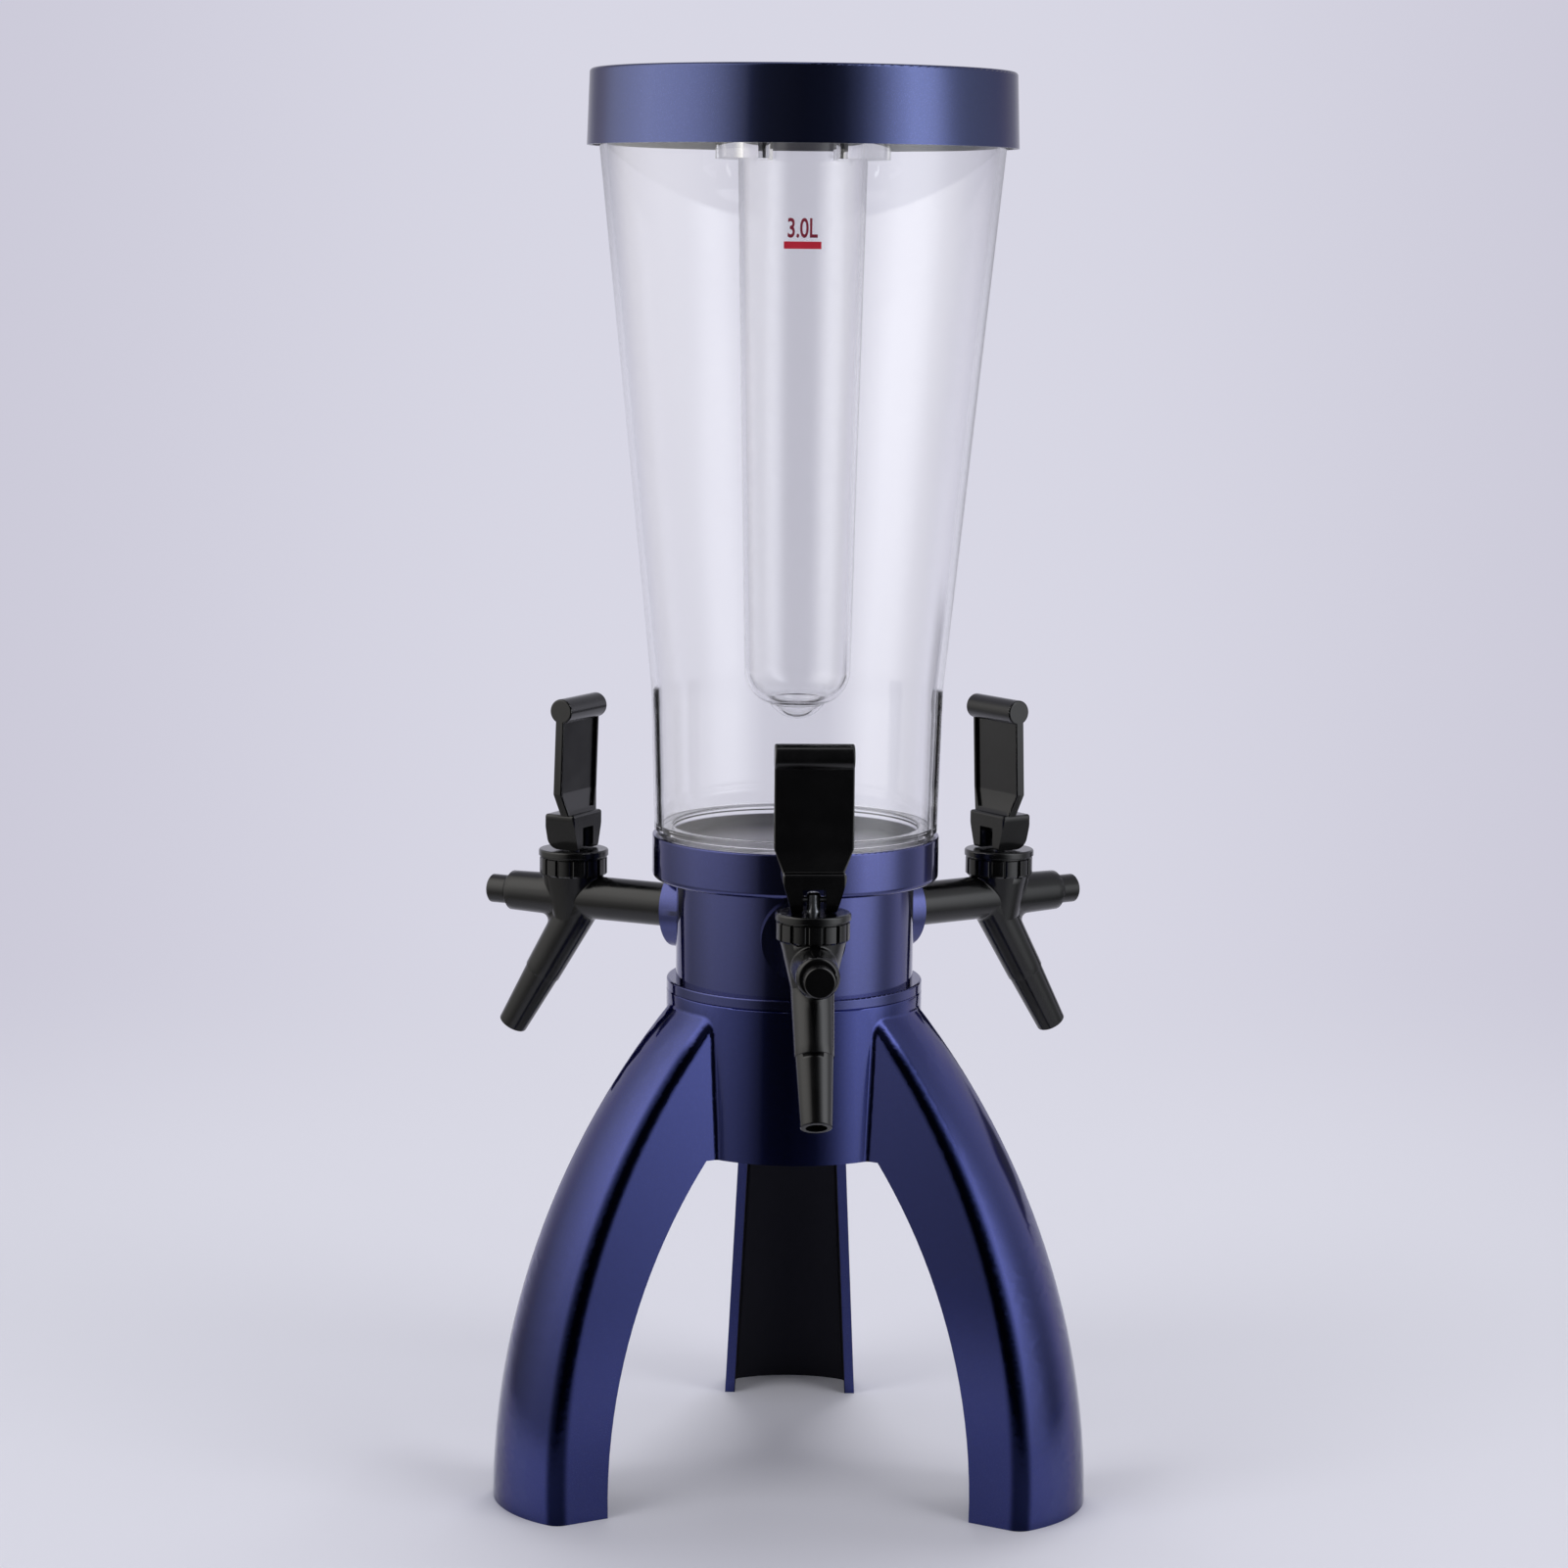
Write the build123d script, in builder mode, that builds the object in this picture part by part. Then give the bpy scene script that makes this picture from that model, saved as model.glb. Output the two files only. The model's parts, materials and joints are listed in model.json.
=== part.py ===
"""Table-top drinks tower: a three-legged stand, a housing with three taps, a clear tank and a chilling tube.

Millimetres, +Z up. The origin is on the tower's axis at floor level, and -Y is the front.
Every tap is built once in its own plane, pointing along +X, and then turned about the axis.
"""

from math import asin, cos, hypot, radians, sin, sqrt
import os

from build123d import *

os.makedirs("parts", exist_ok=True)

# ---------------------------------------------------------------- driving dimensions

# Clearances
seat_gap = 0.1  # between flat seats of pieces that come apart
slip = 0.3  # radial gap where a piece lifts out of another
running = 0.08  # radial gap of a turning or sliding fit
snug = 0.05  # radial gap of a joint that stays together
through = 1.0  # how far a cutter runs past the face it opens
surface_tolerance = 0.01  # how near a point lies to a surface that it is on

# Three-legged stand, one moulding with open-backed legs
drum_radius = 52.9
drum_wall = 3.6
drum_top = 204.4
drum_height = 63.4
deck_depth = 4.0  # the deck lies this far below the drum's top edge
deck_thickness = 4.0
drum_lip = 0.5  # softened edges that make the dark line under the housing's flange
leg_count = 3
rear_leg_angle = 90.0
foot_reach = 132.5  # axis to the crown of a foot
foot_width = 57.8
shoulder_width = 38.9
shoulder_drop = 5.4  # the crowns meet the drum this far below its top
leg_bow = 20.3  # bulge of a crown off its straight chord
foot_depth = 31.8  # crown of a foot to its open back
arch_bow = 12.5
leg_wall = 4.4
leg_face_radius = 52.0
leg_corner_radius = 7.0
leg_root_fillet = 2.5
leg_root_reach = 13.0  # a leg's solid starts this near the axis, inside the drum
leg_section_count = 7

# Housing that carries the taps and the tank
neck_setback = 3.8  # the neck's wall lies this far inside the drum's
neck_wall = 3.1
flange_thickness = 4.6
floor_thickness = 3.0
collar_overhang = 10.1  # how far the collar reaches past the neck
collar_wall = 2.5
collar_rise = 17.0  # the collar's underside lies this far above the taps' axes
collar_height = 18.2
collar_floor = 3.0
collar_round = 2.6
rim_round = 0.8
boss_radius = 17.0
boss_height = 5.7  # how far a tap's boss stands out of the neck
boss_pad_depth = 5.6  # how far its inner pad lies behind the neck's face
centre_boss_radius = 11.0

# Clamp that holds the housing down on the stand
clamp_stud_radius = 4.0
clamp_hole_gap = 0.6
clamp_washer_radius = 13.0
clamp_washer_thickness = 2.0
clamp_neck_radius = 9.0
clamp_neck_height = 4.0
clamp_grip_radius = 21.0
clamp_grip_height = 13.0
clamp_grip_lobes = 6
clamp_scallop_radius = 7.0
clamp_scallop_offset = 3.5  # the scallops' centres lie this far outside the grip
clamp_roof = 3.0  # solid left above the stud's blind hole

# Tank
tank_wall = 2.8
tank_foot_ring = 5.8  # thickness of the clear ring that stands in the collar
tank_foot_height = 15.0
tank_shelf = 2.4  # the ring's top lies this far above its outer step
tank_step_width = 2.0  # how far the tank's base reaches past its foot ring
tank_base_round = 0.4
tank_waist_flare = 1.6  # how far the waist reaches past the base
tank_waist_rise = 59.4
tank_waist_round = 90.0
tank_mouth_radius = 82.1
tank_mouth_rise = 0.7  # the walls turn upright this far above the lid's edge
tank_rim_bead = 1.3
tank_rim_bead_height = 4.0
gasket_thickness = 2.0
gasket_lap = 3.1  # how far the gasket reaches inside the foot ring

# Lid
lid_bottom = 548.8
lid_height = 30.3
lid_side_gap = 1.5  # between the lid's skirt and the tank's bead
lid_taper = 1.1
lid_wall = 2.2
lid_top_thickness = 3.0
lid_edge_round = 1.5
lid_rim_width = 12.0
lid_dish_depth = 1.2

# Chilling tube and the bayonet socket that holds it under the lid
tube_wall = 1.8
tube_top_radius = 26.5
tube_rise = 1.7  # the wall stands this far above the bayonet tabs
tube_bottom_radius = 21.7
tube_straight_height = 223.0  # straight wall above the turn
tube_bend_radius = 13.85
tube_cup_radius = 11.4
tube_cup_depth = 6.2
ear_width = 8.9
ear_drop = 8.6  # the ears reach this far below the ledges
ear_span = 120.0
tab_width = 2.6
tab_height = 2.8
tab_span = 50.0
bayonet_angles = (0, 180)
socket_wall = 2.6
ledge_drop = 23.5  # the ledges' undersides lie this far below the lid's
ledge_height = 2.8
ledge_span = 110.0

# Taps
tap_count = 3
housing_turn = 3.9  # the housing is clamped this many degrees off square to the legs
tap_rise = 25.0  # the taps' axes lie this far above the housing's flange
valve_reach = 105.0
shank_radius = 6.5
shank_tail = 1.5  # how far the shank reaches past its lock nut
inlet_radius = 3.6
pipe_radius = 9.15
pipe_front_radius = 8.4
pipe_web = 10.2  # solid left between the valve's chamber and the front plug
pipe_front_chamfer = 1.6
bonnet_seat_rise = 9.5
cone_top_radius = 13.0
cone_bottom_radius = 8.0
cone_drop = 12.0
cone_blend = 1.0
threaded_neck_radius = 11.2
threaded_neck_height = 6.5
chamber_radius = 6.8
chamber_floor_drop = 5.5
seat_height = 2.0
seat_radius = 5.0
outlet_radius = 3.9
spout_lean = 31.2  # degrees from the vertical
spout_setback = 5.5  # the spout's root lies this far behind the valve
spout_root_radius = 8.9
spout_blend = 3.0
spout_seam_distance = 39.9
spout_seam_radius = 7.8
spout_bore_radius = 4.2
spout_bore_length = 29.4
nozzle_socket_depth = 8.5
nozzle_spigot_radius = 5.2
nozzle_spigot_length = 7.5
nozzle_length = 28.3
nozzle_tip_radius = 6.25
nozzle_tip_round = 0.6
seam_chamfer = 0.35
plug_radius = 5.8
plug_depth = 14.0
plug_head_lip = 0.3
plug_head_length = 9.0
plug_chamfer = 0.7
washer_radius = 10.5
washer_thickness = 2.0
lock_nut_flats = 22.0
lock_nut_thickness = 6.0

# Bonnet nut and the gland under it
bonnet_height = 11.0
bonnet_top_plate = 3.1
bonnet_radius = 14.3
bonnet_rim_lip = 0.5
bonnet_rim_height = 2.0
bonnet_rim_round = 0.65
bonnet_groove_count = 14
bonnet_groove_width = 1.5
bonnet_groove_depth = 0.9
gland_plug_depth = 4.0
gland_flange = 1.2
oring_wire = 0.8  # radius of the ring's section

# Valve stem, seal, spring and pivot pin
stem_radius = 2.8
stem_foot_radius = 5.6
stem_foot_thickness = 1.5
stem_crown = 2.9  # rounded end above the pivot
stem_head_round = 1.4
seal_thickness = 2.4
seal_stud_radius = 1.6
seal_stud_cover = 0.6  # rubber left under the stud
spring_wire = 0.55
spring_radius = 4.7
spring_turns = 4.5
pin_radius = 1.25
pin_cover = 1.0  # yoke left outside the pin's ends

# Lever
foot_gap = 0.3
cam_radius = 4.6
cam_offset = 2.6
yoke_back = 7.0
yoke_height = 15.5
yoke_top_half_width = 12.4
yoke_bottom_half_width = 8.6
yoke_shoulder = 2.6
yoke_round = 1.2
fork_half_gap = 4.5
fork_depth = 9.4
blade_width = 31.0
blade_foot_width = 23.6
blade_thickness = 4.0
blade_length = 44.4
blade_flare_height = 10.7
blade_lap = 1.7  # how far the blade reaches down into the yoke
blade_top_lead = 0.2  # front face ahead of the valve's axis
blade_middle_lead = 1.4
blade_foot_setback = 0.6  # and behind it at the foot
blade_round = 0.7
panel_rim = 1.6
panel_depth = 1.2
roll_radius = 5.2
roll_setback = 2.3
roll_rise = 1.6  # the roll's axis above the blade
roll_round = 0.8

# ---------------------------------------------------------------- sizes worked out from them

drum_bottom = drum_top - drum_height
drum_bore = drum_radius - drum_wall
deck_top = drum_top - deck_depth
deck_bottom = deck_top - deck_thickness
shoulder_height = drum_top - shoulder_drop
arch_foot_reach = foot_reach - foot_depth
clamp_hole_radius = clamp_stud_radius + clamp_hole_gap

neck_radius = drum_radius - neck_setback
housing_chamber_radius = neck_radius - neck_wall
flange_top = drum_top + flange_thickness
housing_floor_top = flange_top + floor_thickness
tap_height = flange_top + tap_rise
boss_reach = neck_radius + boss_height
boss_pad_reach = neck_radius - boss_pad_depth
collar_radius = neck_radius + collar_overhang
collar_bottom = tap_height + collar_rise
collar_bore = collar_radius - collar_wall
collar_top = collar_bottom + collar_height
gasket_bottom = collar_bottom + collar_floor
gasket_outer_radius = collar_bore - slip

tank_foot_radius = collar_bore - slip
tank_foot_bore = tank_foot_radius - tank_foot_ring
tank_bottom = gasket_bottom + gasket_thickness + seat_gap
tank_step = tank_bottom + tank_foot_height
tank_base_radius = tank_foot_radius + tank_step_width
tank_waist_radius = tank_base_radius + tank_waist_flare
tank_waist_height = tank_step + tank_waist_rise
tank_mouth_height = lid_bottom + tank_mouth_rise
gasket_inner_radius = tank_foot_bore - gasket_lap

lid_top = lid_bottom + lid_height
lid_underside = lid_top - lid_top_thickness
tank_rim = lid_underside - slip
lid_bottom_radius = tank_mouth_radius + tank_rim_bead + lid_side_gap + lid_wall
lid_top_radius = lid_bottom_radius - lid_taper
lid_dish_radius = lid_top_radius - lid_rim_width

ledge_bottom = lid_underside - ledge_drop
ledge_top = ledge_bottom + ledge_height
ear_radius = tube_top_radius + ear_width
ear_bottom = ledge_bottom - ear_drop
tab_radius = ear_radius + tab_width
tab_bottom = ledge_top + seat_gap
tube_top = tab_bottom + tab_height + tube_rise
tube_bottom_bend = tube_top - tube_straight_height
socket_bore = tab_radius + slip + seat_gap
tube_slope = (tube_top_radius - tube_bottom_radius) / (tube_top - tube_bottom_bend)

shank_reach = boss_pad_reach - washer_thickness - lock_nut_thickness - shank_tail
pipe_front_reach = valve_reach + chamber_radius + pipe_web + plug_depth
plug_head_radius = plug_radius + plug_head_lip
spout_root_reach = valve_reach - spout_setback
nozzle_top_radius = spout_seam_radius - seam_chamfer
bonnet_rim_radius = bonnet_radius + bonnet_rim_lip
bonnet_bottom = tap_height + bonnet_seat_rise
bonnet_top = bonnet_bottom + bonnet_height
threaded_neck_top = bonnet_bottom + threaded_neck_height
gland_top = bonnet_top - bonnet_top_plate
gland_flange_bottom = gland_top - gland_flange
gland_bottom = gland_flange_bottom - gland_plug_depth
seat_top = tap_height - chamber_floor_drop + seat_height
seal_bottom = seat_top + snug
seal_top = seal_bottom + seal_thickness
stem_foot_top = seal_top + stem_foot_thickness
yoke_bottom = bonnet_top + foot_gap
yoke_top = yoke_bottom + yoke_height
yoke_front = valve_reach + cam_offset + cam_radius
pin_height = yoke_bottom + cam_radius
pin_half_length = yoke_bottom_half_width - pin_cover
blade_foot = yoke_top - blade_lap
blade_taper_top = blade_foot + blade_flare_height
blade_top = blade_foot + blade_length
roll_height = blade_top + roll_rise
roll_reach = valve_reach - roll_setback
tap_angles = [housing_turn - 90 + 360 / tap_count * i for i in range(tap_count)]


# ---------------------------------------------------------------- shared geometry


def bowed_arc(low_reach, low_z, high_reach, high_z, bow):
    """Centre (reach, z) and radius of the outward arc through two points with the given bulge."""
    half_chord = hypot(high_reach - low_reach, high_z - low_z) / 2
    radius = (half_chord**2 + bow**2) / (2 * bow)
    along = ((high_reach - low_reach) / (2 * half_chord), (high_z - low_z) / (2 * half_chord))
    inward = radius - bow
    centre_reach = (low_reach + high_reach) / 2 - along[1] * inward
    centre_z = (low_z + high_z) / 2 + along[0] * inward
    return centre_reach, centre_z, radius


crown_arc = bowed_arc(foot_reach, 0, drum_radius, shoulder_height, leg_bow)
arch_arc = bowed_arc(arch_foot_reach, 0, drum_radius, drum_bottom, arch_bow)


def reach_on(arc, z):
    """Distance from the tower's axis of an arc's point at height z."""
    centre_reach, centre_z, radius = arc
    return centre_reach + sqrt(radius**2 - (z - centre_z) ** 2)


def leg_width(z):
    """Width of a leg at height z."""
    return foot_width + (shoulder_width - foot_width) * z / shoulder_height


def radial_plane(reach, angle, height):
    """Plane that faces away from the tower's axis, at a distance from it."""
    outward = (cos(radians(angle)), sin(radians(angle)), 0)
    sideways = (-sin(radians(angle)), cos(radians(angle)), 0)
    return Plane(origin=(reach * outward[0], reach * outward[1], height), x_dir=sideways, z_dir=outward)


def half_plane(angle):
    """Upright plane through the axis: local x points away from the axis and local y points up."""
    a = radians(angle)
    return Plane(origin=(0, 0, 0), x_dir=(cos(a), sin(a), 0), z_dir=(sin(a), -cos(a), 0))


def spout_plane(distance):
    """Plane square to a tap's spout, at a distance from the spout's root."""
    lean = radians(spout_lean)
    origin = (spout_root_reach + distance * sin(lean), 0, tap_height - distance * cos(lean))
    return Plane(origin=origin, x_dir=(0, 1, 0), z_dir=(sin(lean), 0, -cos(lean)))


def valve_plane(height):
    """Level plane centred on a tap's valve."""
    return Plane(origin=(valve_reach, 0, height))


def revolved(*points):
    """Add the solid that a closed outline of (radius, height) points sweeps about the tower's axis."""
    with BuildSketch(half_plane(0)) as profile:
        with BuildLine():
            Polyline(*points, close=True)
        make_face()
    revolve(profile.sketch, axis=Axis.Z)


def ring_sector(inner, outer, low, high, middle, span, mode=Mode.ADD):
    """Part of a flat ring about the tower's axis."""
    with BuildSketch(half_plane(middle - span / 2)) as profile:
        with Locations(((inner + outer) / 2, (low + high) / 2)):
            Rectangle(outer - inner, high - low)
    revolve(profile.sketch, axis=Axis.Z, revolution_arc=span, mode=mode)


def ring(inner, outer, low, high):
    """Flat ring about the tower's axis."""
    ring_sector(inner, outer, low, high, 0, 360)


def disc(plane, radius, length, mode=Mode.ADD):
    """Round bar that starts on a plane and runs along its normal."""
    with BuildSketch(plane) as end:
        Circle(radius)
    extrude(end.sketch, amount=length, mode=mode)


def cone(low_plane, low_radius, high_plane, high_radius, mode=Mode.ADD):
    """Tapered bar between two parallel planes."""
    with BuildSketch(low_plane) as low_end:
        Circle(low_radius)
    with BuildSketch(high_plane) as high_end:
        Circle(high_radius)
    loft([low_end.sketch, high_end.sketch], mode=mode)


# ---------------------------------------------------------------- stand


def leg_section(z, inset):
    """One level slice of a leg along +X: flat sides, a bulging front and rounded corners."""
    crown = reach_on(crown_arc, z)
    half = leg_width(z) / 2 - inset
    centre = crown - leg_face_radius
    radius = leg_face_radius - inset
    corner = centre + sqrt(radius**2 - half**2)
    back = leg_root_reach
    with BuildSketch(Plane.XY.offset(z)) as section:
        with BuildLine():
            Line((corner, -half), (back, -half))
            Line((back, -half), (back, half))
            Line((back, half), (corner, half))
            ThreePointArc((corner, half), (centre + radius, 0), (corner, -half))
        make_face()
        fillet(section.vertices().group_by(Axis.X)[-1], radius=leg_corner_radius - inset)
    return section.sketch


def leg_body(low, high, inset):
    """Leg along +X, smooth from the low height to the high one."""
    step = (high - low) / (leg_section_count - 1)
    with BuildPart() as body:
        loft([leg_section(low + step * i, inset) for i in range(leg_section_count)])
    return body.part


def arch_void():
    """Space under the arch, inwards of a leg's open back."""
    low = -through
    middle = drum_bottom / 2
    with BuildPart() as void:
        with BuildSketch(half_plane(0)):
            with BuildLine():
                Line((0, low), (reach_on(arch_arc, low), low))
                ThreePointArc(
                    (reach_on(arch_arc, low), low),
                    (reach_on(arch_arc, middle), middle),
                    (reach_on(arch_arc, drum_bottom), drum_bottom),
                )
                Line((reach_on(arch_arc, drum_bottom), drum_bottom), (0, drum_bottom))
                Line((0, drum_bottom), (0, low))
            make_face()
        extrude(amount=foot_width, both=True)
    return void.part


def on_drum(edge):
    """True for an edge that lies on the drum's outside between its ends, where a leg grows out of it."""
    start, middle, end = (edge.position_at(share) for share in (0, 0.5, 1))
    on_surface = all(abs(hypot(p.X, p.Y) - drum_radius) < surface_tolerance for p in (start, middle, end))
    return on_surface and abs(start.Z - end.Z) > shoulder_drop


leg_outside = leg_body(0, drum_top - drum_lip, 0) - arch_void()
leg_inside = leg_body(-through, deck_bottom, leg_wall)

with BuildPart() as tripod_stand:
    disc(Plane.XY.offset(drum_bottom), drum_radius, drum_height)
    with PolarLocations(0, leg_count, start_angle=rear_leg_angle):
        add(leg_outside)
    fillet(tripod_stand.edges().filter_by(on_drum), radius=leg_root_fillet)
    drum_depth = deck_bottom - drum_bottom
    disc(Plane.XY.offset(drum_bottom - through), drum_bore, drum_depth + through, Mode.SUBTRACT)
    disc(Plane.XY.offset(deck_top), drum_bore, deck_depth + through, Mode.SUBTRACT)
    with PolarLocations(0, leg_count, start_angle=rear_leg_angle):
        add(leg_inside, mode=Mode.SUBTRACT)
    hole_start = Plane.XY.offset(deck_bottom - through)
    disc(hole_start, clamp_hole_radius, deck_thickness + 2 * through, Mode.SUBTRACT)
    top_edges = tripod_stand.edges().filter_by(GeomType.CIRCLE).group_by(Axis.Z)[-1]
    chamfer(top_edges.sort_by(SortBy.RADIUS)[-1], drum_lip)
tripod_stand.part.label = "tripod_stand"
export_step(tripod_stand.part, "parts/tripod_stand.step")


# ---------------------------------------------------------------- housing and its clamp

with BuildPart() as tap_housing:
    revolved(
        (0, flange_top),
        (neck_radius - neck_wall, flange_top),
        (neck_radius - neck_wall, deck_top),
        (drum_bore - slip, deck_top),
        (drum_bore - slip, drum_top),
        (drum_radius, drum_top),
        (drum_radius, flange_top),
        (neck_radius, flange_top),
        (neck_radius, collar_bottom),
        (collar_radius, collar_bottom),
        (collar_radius, collar_top),
        (collar_bore, collar_top),
        (collar_bore, gasket_bottom),
        (housing_chamber_radius, gasket_bottom),
        (housing_chamber_radius, housing_floor_top),
        (0, housing_floor_top),
    )
    round_edges = tap_housing.edges().filter_by(GeomType.CIRCLE)
    collar_edges = round_edges.filter_by(lambda e: e.radius == collar_radius)
    fillet(collar_edges.sort_by(Axis.Z)[0], radius=collar_round)
    fillet(collar_edges.sort_by(Axis.Z)[-1], radius=rim_round)
    flange_edges = tap_housing.edges().filter_by(GeomType.CIRCLE).filter_by(lambda e: e.radius == drum_radius)
    fillet(flange_edges.sort_by(Axis.Z)[-1], radius=rim_round)
    chamfer(flange_edges.sort_by(Axis.Z)[0], drum_lip)
    for tap_angle in tap_angles:
        disc(radial_plane(boss_pad_reach, tap_angle, tap_height), boss_radius, boss_reach - boss_pad_reach)
    for tap_angle in tap_angles:
        bore_start = radial_plane(boss_pad_reach - through, tap_angle, tap_height)
        disc(bore_start, shank_radius + snug, boss_reach - boss_pad_reach + 2 * through, Mode.SUBTRACT)
    disc(Plane.XY.offset(deck_top), centre_boss_radius, flange_top - deck_top)
    stud_hole_depth = housing_floor_top - clamp_roof - deck_top
    stud_hole_start = Plane.XY.offset(deck_top - through)
    disc(stud_hole_start, clamp_stud_radius + snug, stud_hole_depth + through, Mode.SUBTRACT)
tap_housing.part.label = "tap_housing"
export_step(tap_housing.part, "parts/tap_housing.step")

clamp_washer_bottom = deck_bottom - clamp_washer_thickness
with BuildPart() as clamp_washer:
    ring(clamp_stud_radius + snug, clamp_washer_radius, clamp_washer_bottom, deck_bottom)
clamp_washer.part.label = "clamp_washer"
export_step(clamp_washer.part, "parts/clamp_washer.step")

grip_top = clamp_washer_bottom - clamp_neck_height
grip_bottom = grip_top - clamp_grip_height
with BuildPart() as clamp_knob:
    disc(Plane.XY.offset(grip_bottom), clamp_grip_radius, clamp_grip_height)
    with BuildSketch(Plane.XY.offset(grip_bottom)):
        with PolarLocations(clamp_grip_radius + clamp_scallop_offset, clamp_grip_lobes):
            Circle(clamp_scallop_radius)
    extrude(amount=clamp_grip_height, mode=Mode.SUBTRACT)
    fillet(clamp_knob.edges().group_by(Axis.Z)[0], radius=rim_round)
    fillet(clamp_knob.edges().group_by(Axis.Z)[-1], radius=rim_round)
    disc(Plane.XY.offset(grip_top), clamp_neck_radius, clamp_neck_height)
    disc(Plane.XY.offset(grip_top), clamp_stud_radius, deck_top + stud_hole_depth - rim_round - grip_top)
clamp_knob.part.label = "clamp_knob"
export_step(clamp_knob.part, "parts/clamp_knob.step")


# ---------------------------------------------------------------- tank


def tank_side(inset, bottom):
    """Side of the tank from its base to its mouth, moved in by the wall for the inside."""
    start = (tank_base_radius - inset, bottom)
    waist = (tank_waist_radius - inset, tank_waist_height)
    mouth = (tank_mouth_radius - inset, tank_mouth_height)
    return FilletPolyline(start, waist, mouth, radius=tank_waist_round)


with BuildPart() as tank:
    with BuildSketch(Plane.XZ):
        with BuildLine():
            outside = tank_side(0, tank_step)
            Line(outside @ 1, (tank_mouth_radius, tank_rim))
            Line((tank_mouth_radius, tank_rim), (tank_mouth_radius - tank_wall, tank_rim))
            inside = tank_side(tank_wall, tank_step + tank_shelf)
            Line((tank_mouth_radius - tank_wall, tank_rim), inside @ 1)
            Line(inside @ 0, (tank_foot_bore, tank_step + tank_shelf))
            Line((tank_foot_bore, tank_step + tank_shelf), (tank_foot_bore, tank_bottom))
            Line((tank_foot_bore, tank_bottom), (tank_foot_radius, tank_bottom))
            Line((tank_foot_radius, tank_bottom), (tank_foot_radius, tank_step))
            Line((tank_foot_radius, tank_step), outside @ 0)
        make_face()
    revolve(axis=Axis.Z)
    bead_root = tank_mouth_radius - tank_wall / 2
    ring(bead_root, tank_mouth_radius + tank_rim_bead, tank_rim - tank_rim_bead_height, tank_rim)
    foot_edges = tank.edges().filter_by(GeomType.CIRCLE).filter_by(lambda e: e.radius == tank_foot_bore)
    fillet(foot_edges, radius=rim_round)
    base_edges = tank.edges().filter_by(GeomType.CIRCLE).filter_by(lambda e: e.radius == tank_base_radius)
    fillet(base_edges, radius=tank_base_round)
tank.part.label = "tank"
export_step(tank.part, "parts/tank.step")

with BuildPart() as tank_gasket:
    ring(gasket_inner_radius, gasket_outer_radius, gasket_bottom, gasket_bottom + gasket_thickness)
tank_gasket.part.label = "tank_gasket"
export_step(tank_gasket.part, "parts/tank_gasket.step")


# ---------------------------------------------------------------- lid

socket_radius = socket_bore + socket_wall
ledge_outer = socket_bore + socket_wall / 2
lid_draft = (lid_bottom_radius - lid_top_radius) / lid_height

with BuildPart() as lid:
    revolved(
        (0, lid_underside),
        (socket_bore, lid_underside),
        (socket_bore, ledge_bottom),
        (socket_radius, ledge_bottom),
        (socket_radius, lid_underside),
        (lid_top_radius + lid_draft * lid_top_thickness - lid_wall, lid_underside),
        (lid_bottom_radius - lid_wall, lid_bottom),
        (lid_bottom_radius, lid_bottom),
        (lid_top_radius, lid_top),
        (0, lid_top),
    )
    fillet(lid.edges().group_by(Axis.Z)[-1], radius=lid_edge_round)
    disc(Plane.XY.offset(lid_top - lid_dish_depth), lid_dish_radius, lid_dish_depth + through, Mode.SUBTRACT)
    for middle in bayonet_angles:
        ring_sector(ear_radius + slip, ledge_outer, ledge_bottom, ledge_top, middle, ledge_span)
lid.part.label = "lid"
export_step(lid.part, "parts/lid.step")


# ---------------------------------------------------------------- chilling tube


def tube_profile(inset, top):
    """Half outline of the tube: a slightly tapered wall, a round turn and a small cup at the tip."""
    bend = tube_bend_radius - inset
    turn_reach = tube_bottom_radius - tube_bend_radius
    cup_bottom = tube_bottom_bend - tube_bend_radius - tube_cup_depth + inset
    cup_reach = tube_cup_radius - inset
    cup_edge = (cup_reach, tube_bottom_bend - sqrt(bend**2 - (cup_reach - turn_reach) ** 2))
    cup_height = cup_edge[1] - cup_bottom
    cup_sphere = (cup_reach**2 + cup_height**2) / (2 * cup_height)
    half_turn = (cup_reach - turn_reach) / bend
    middle = (asin(half_turn) + radians(90)) / 2
    with BuildSketch(Plane.XZ) as profile:
        with BuildLine():
            Line((0, cup_bottom), (0, top))
            Line((0, top), (tube_bottom_radius - inset + tube_slope * (top - tube_bottom_bend), top))
            Line(
                (tube_bottom_radius - inset + tube_slope * (top - tube_bottom_bend), top),
                (tube_bottom_radius - inset, tube_bottom_bend),
            )
            ThreePointArc(
                (tube_bottom_radius - inset, tube_bottom_bend),
                (turn_reach + bend * sin(middle), tube_bottom_bend - bend * cos(middle)),
                cup_edge,
            )
            cup_third = cup_reach / 2
            ThreePointArc(
                cup_edge,
                (cup_third, cup_bottom + cup_sphere - sqrt(cup_sphere**2 - cup_third**2)),
                (0, cup_bottom),
            )
        make_face()
    return profile.sketch


with BuildPart() as ice_tube:
    revolve(tube_profile(0, tube_top), axis=Axis.Z)
    for middle in bayonet_angles:
        ring_sector(tube_bottom_radius, ear_radius, ear_bottom, tab_bottom + tab_height, middle, ear_span)
        ring_sector(tube_bottom_radius, tab_radius, tab_bottom, tab_bottom + tab_height, middle, tab_span)
    revolve(tube_profile(tube_wall, tube_top + through), axis=Axis.Z, mode=Mode.SUBTRACT)
ice_tube.part.label = "ice_tube"
export_step(ice_tube.part, "parts/ice_tube.step")


# ---------------------------------------------------------------- taps, each built along +X


def pipe_plane(reach):
    """Plane square to a tap's pipe, facing outwards."""
    return radial_plane(reach, 0, tap_height)


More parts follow.
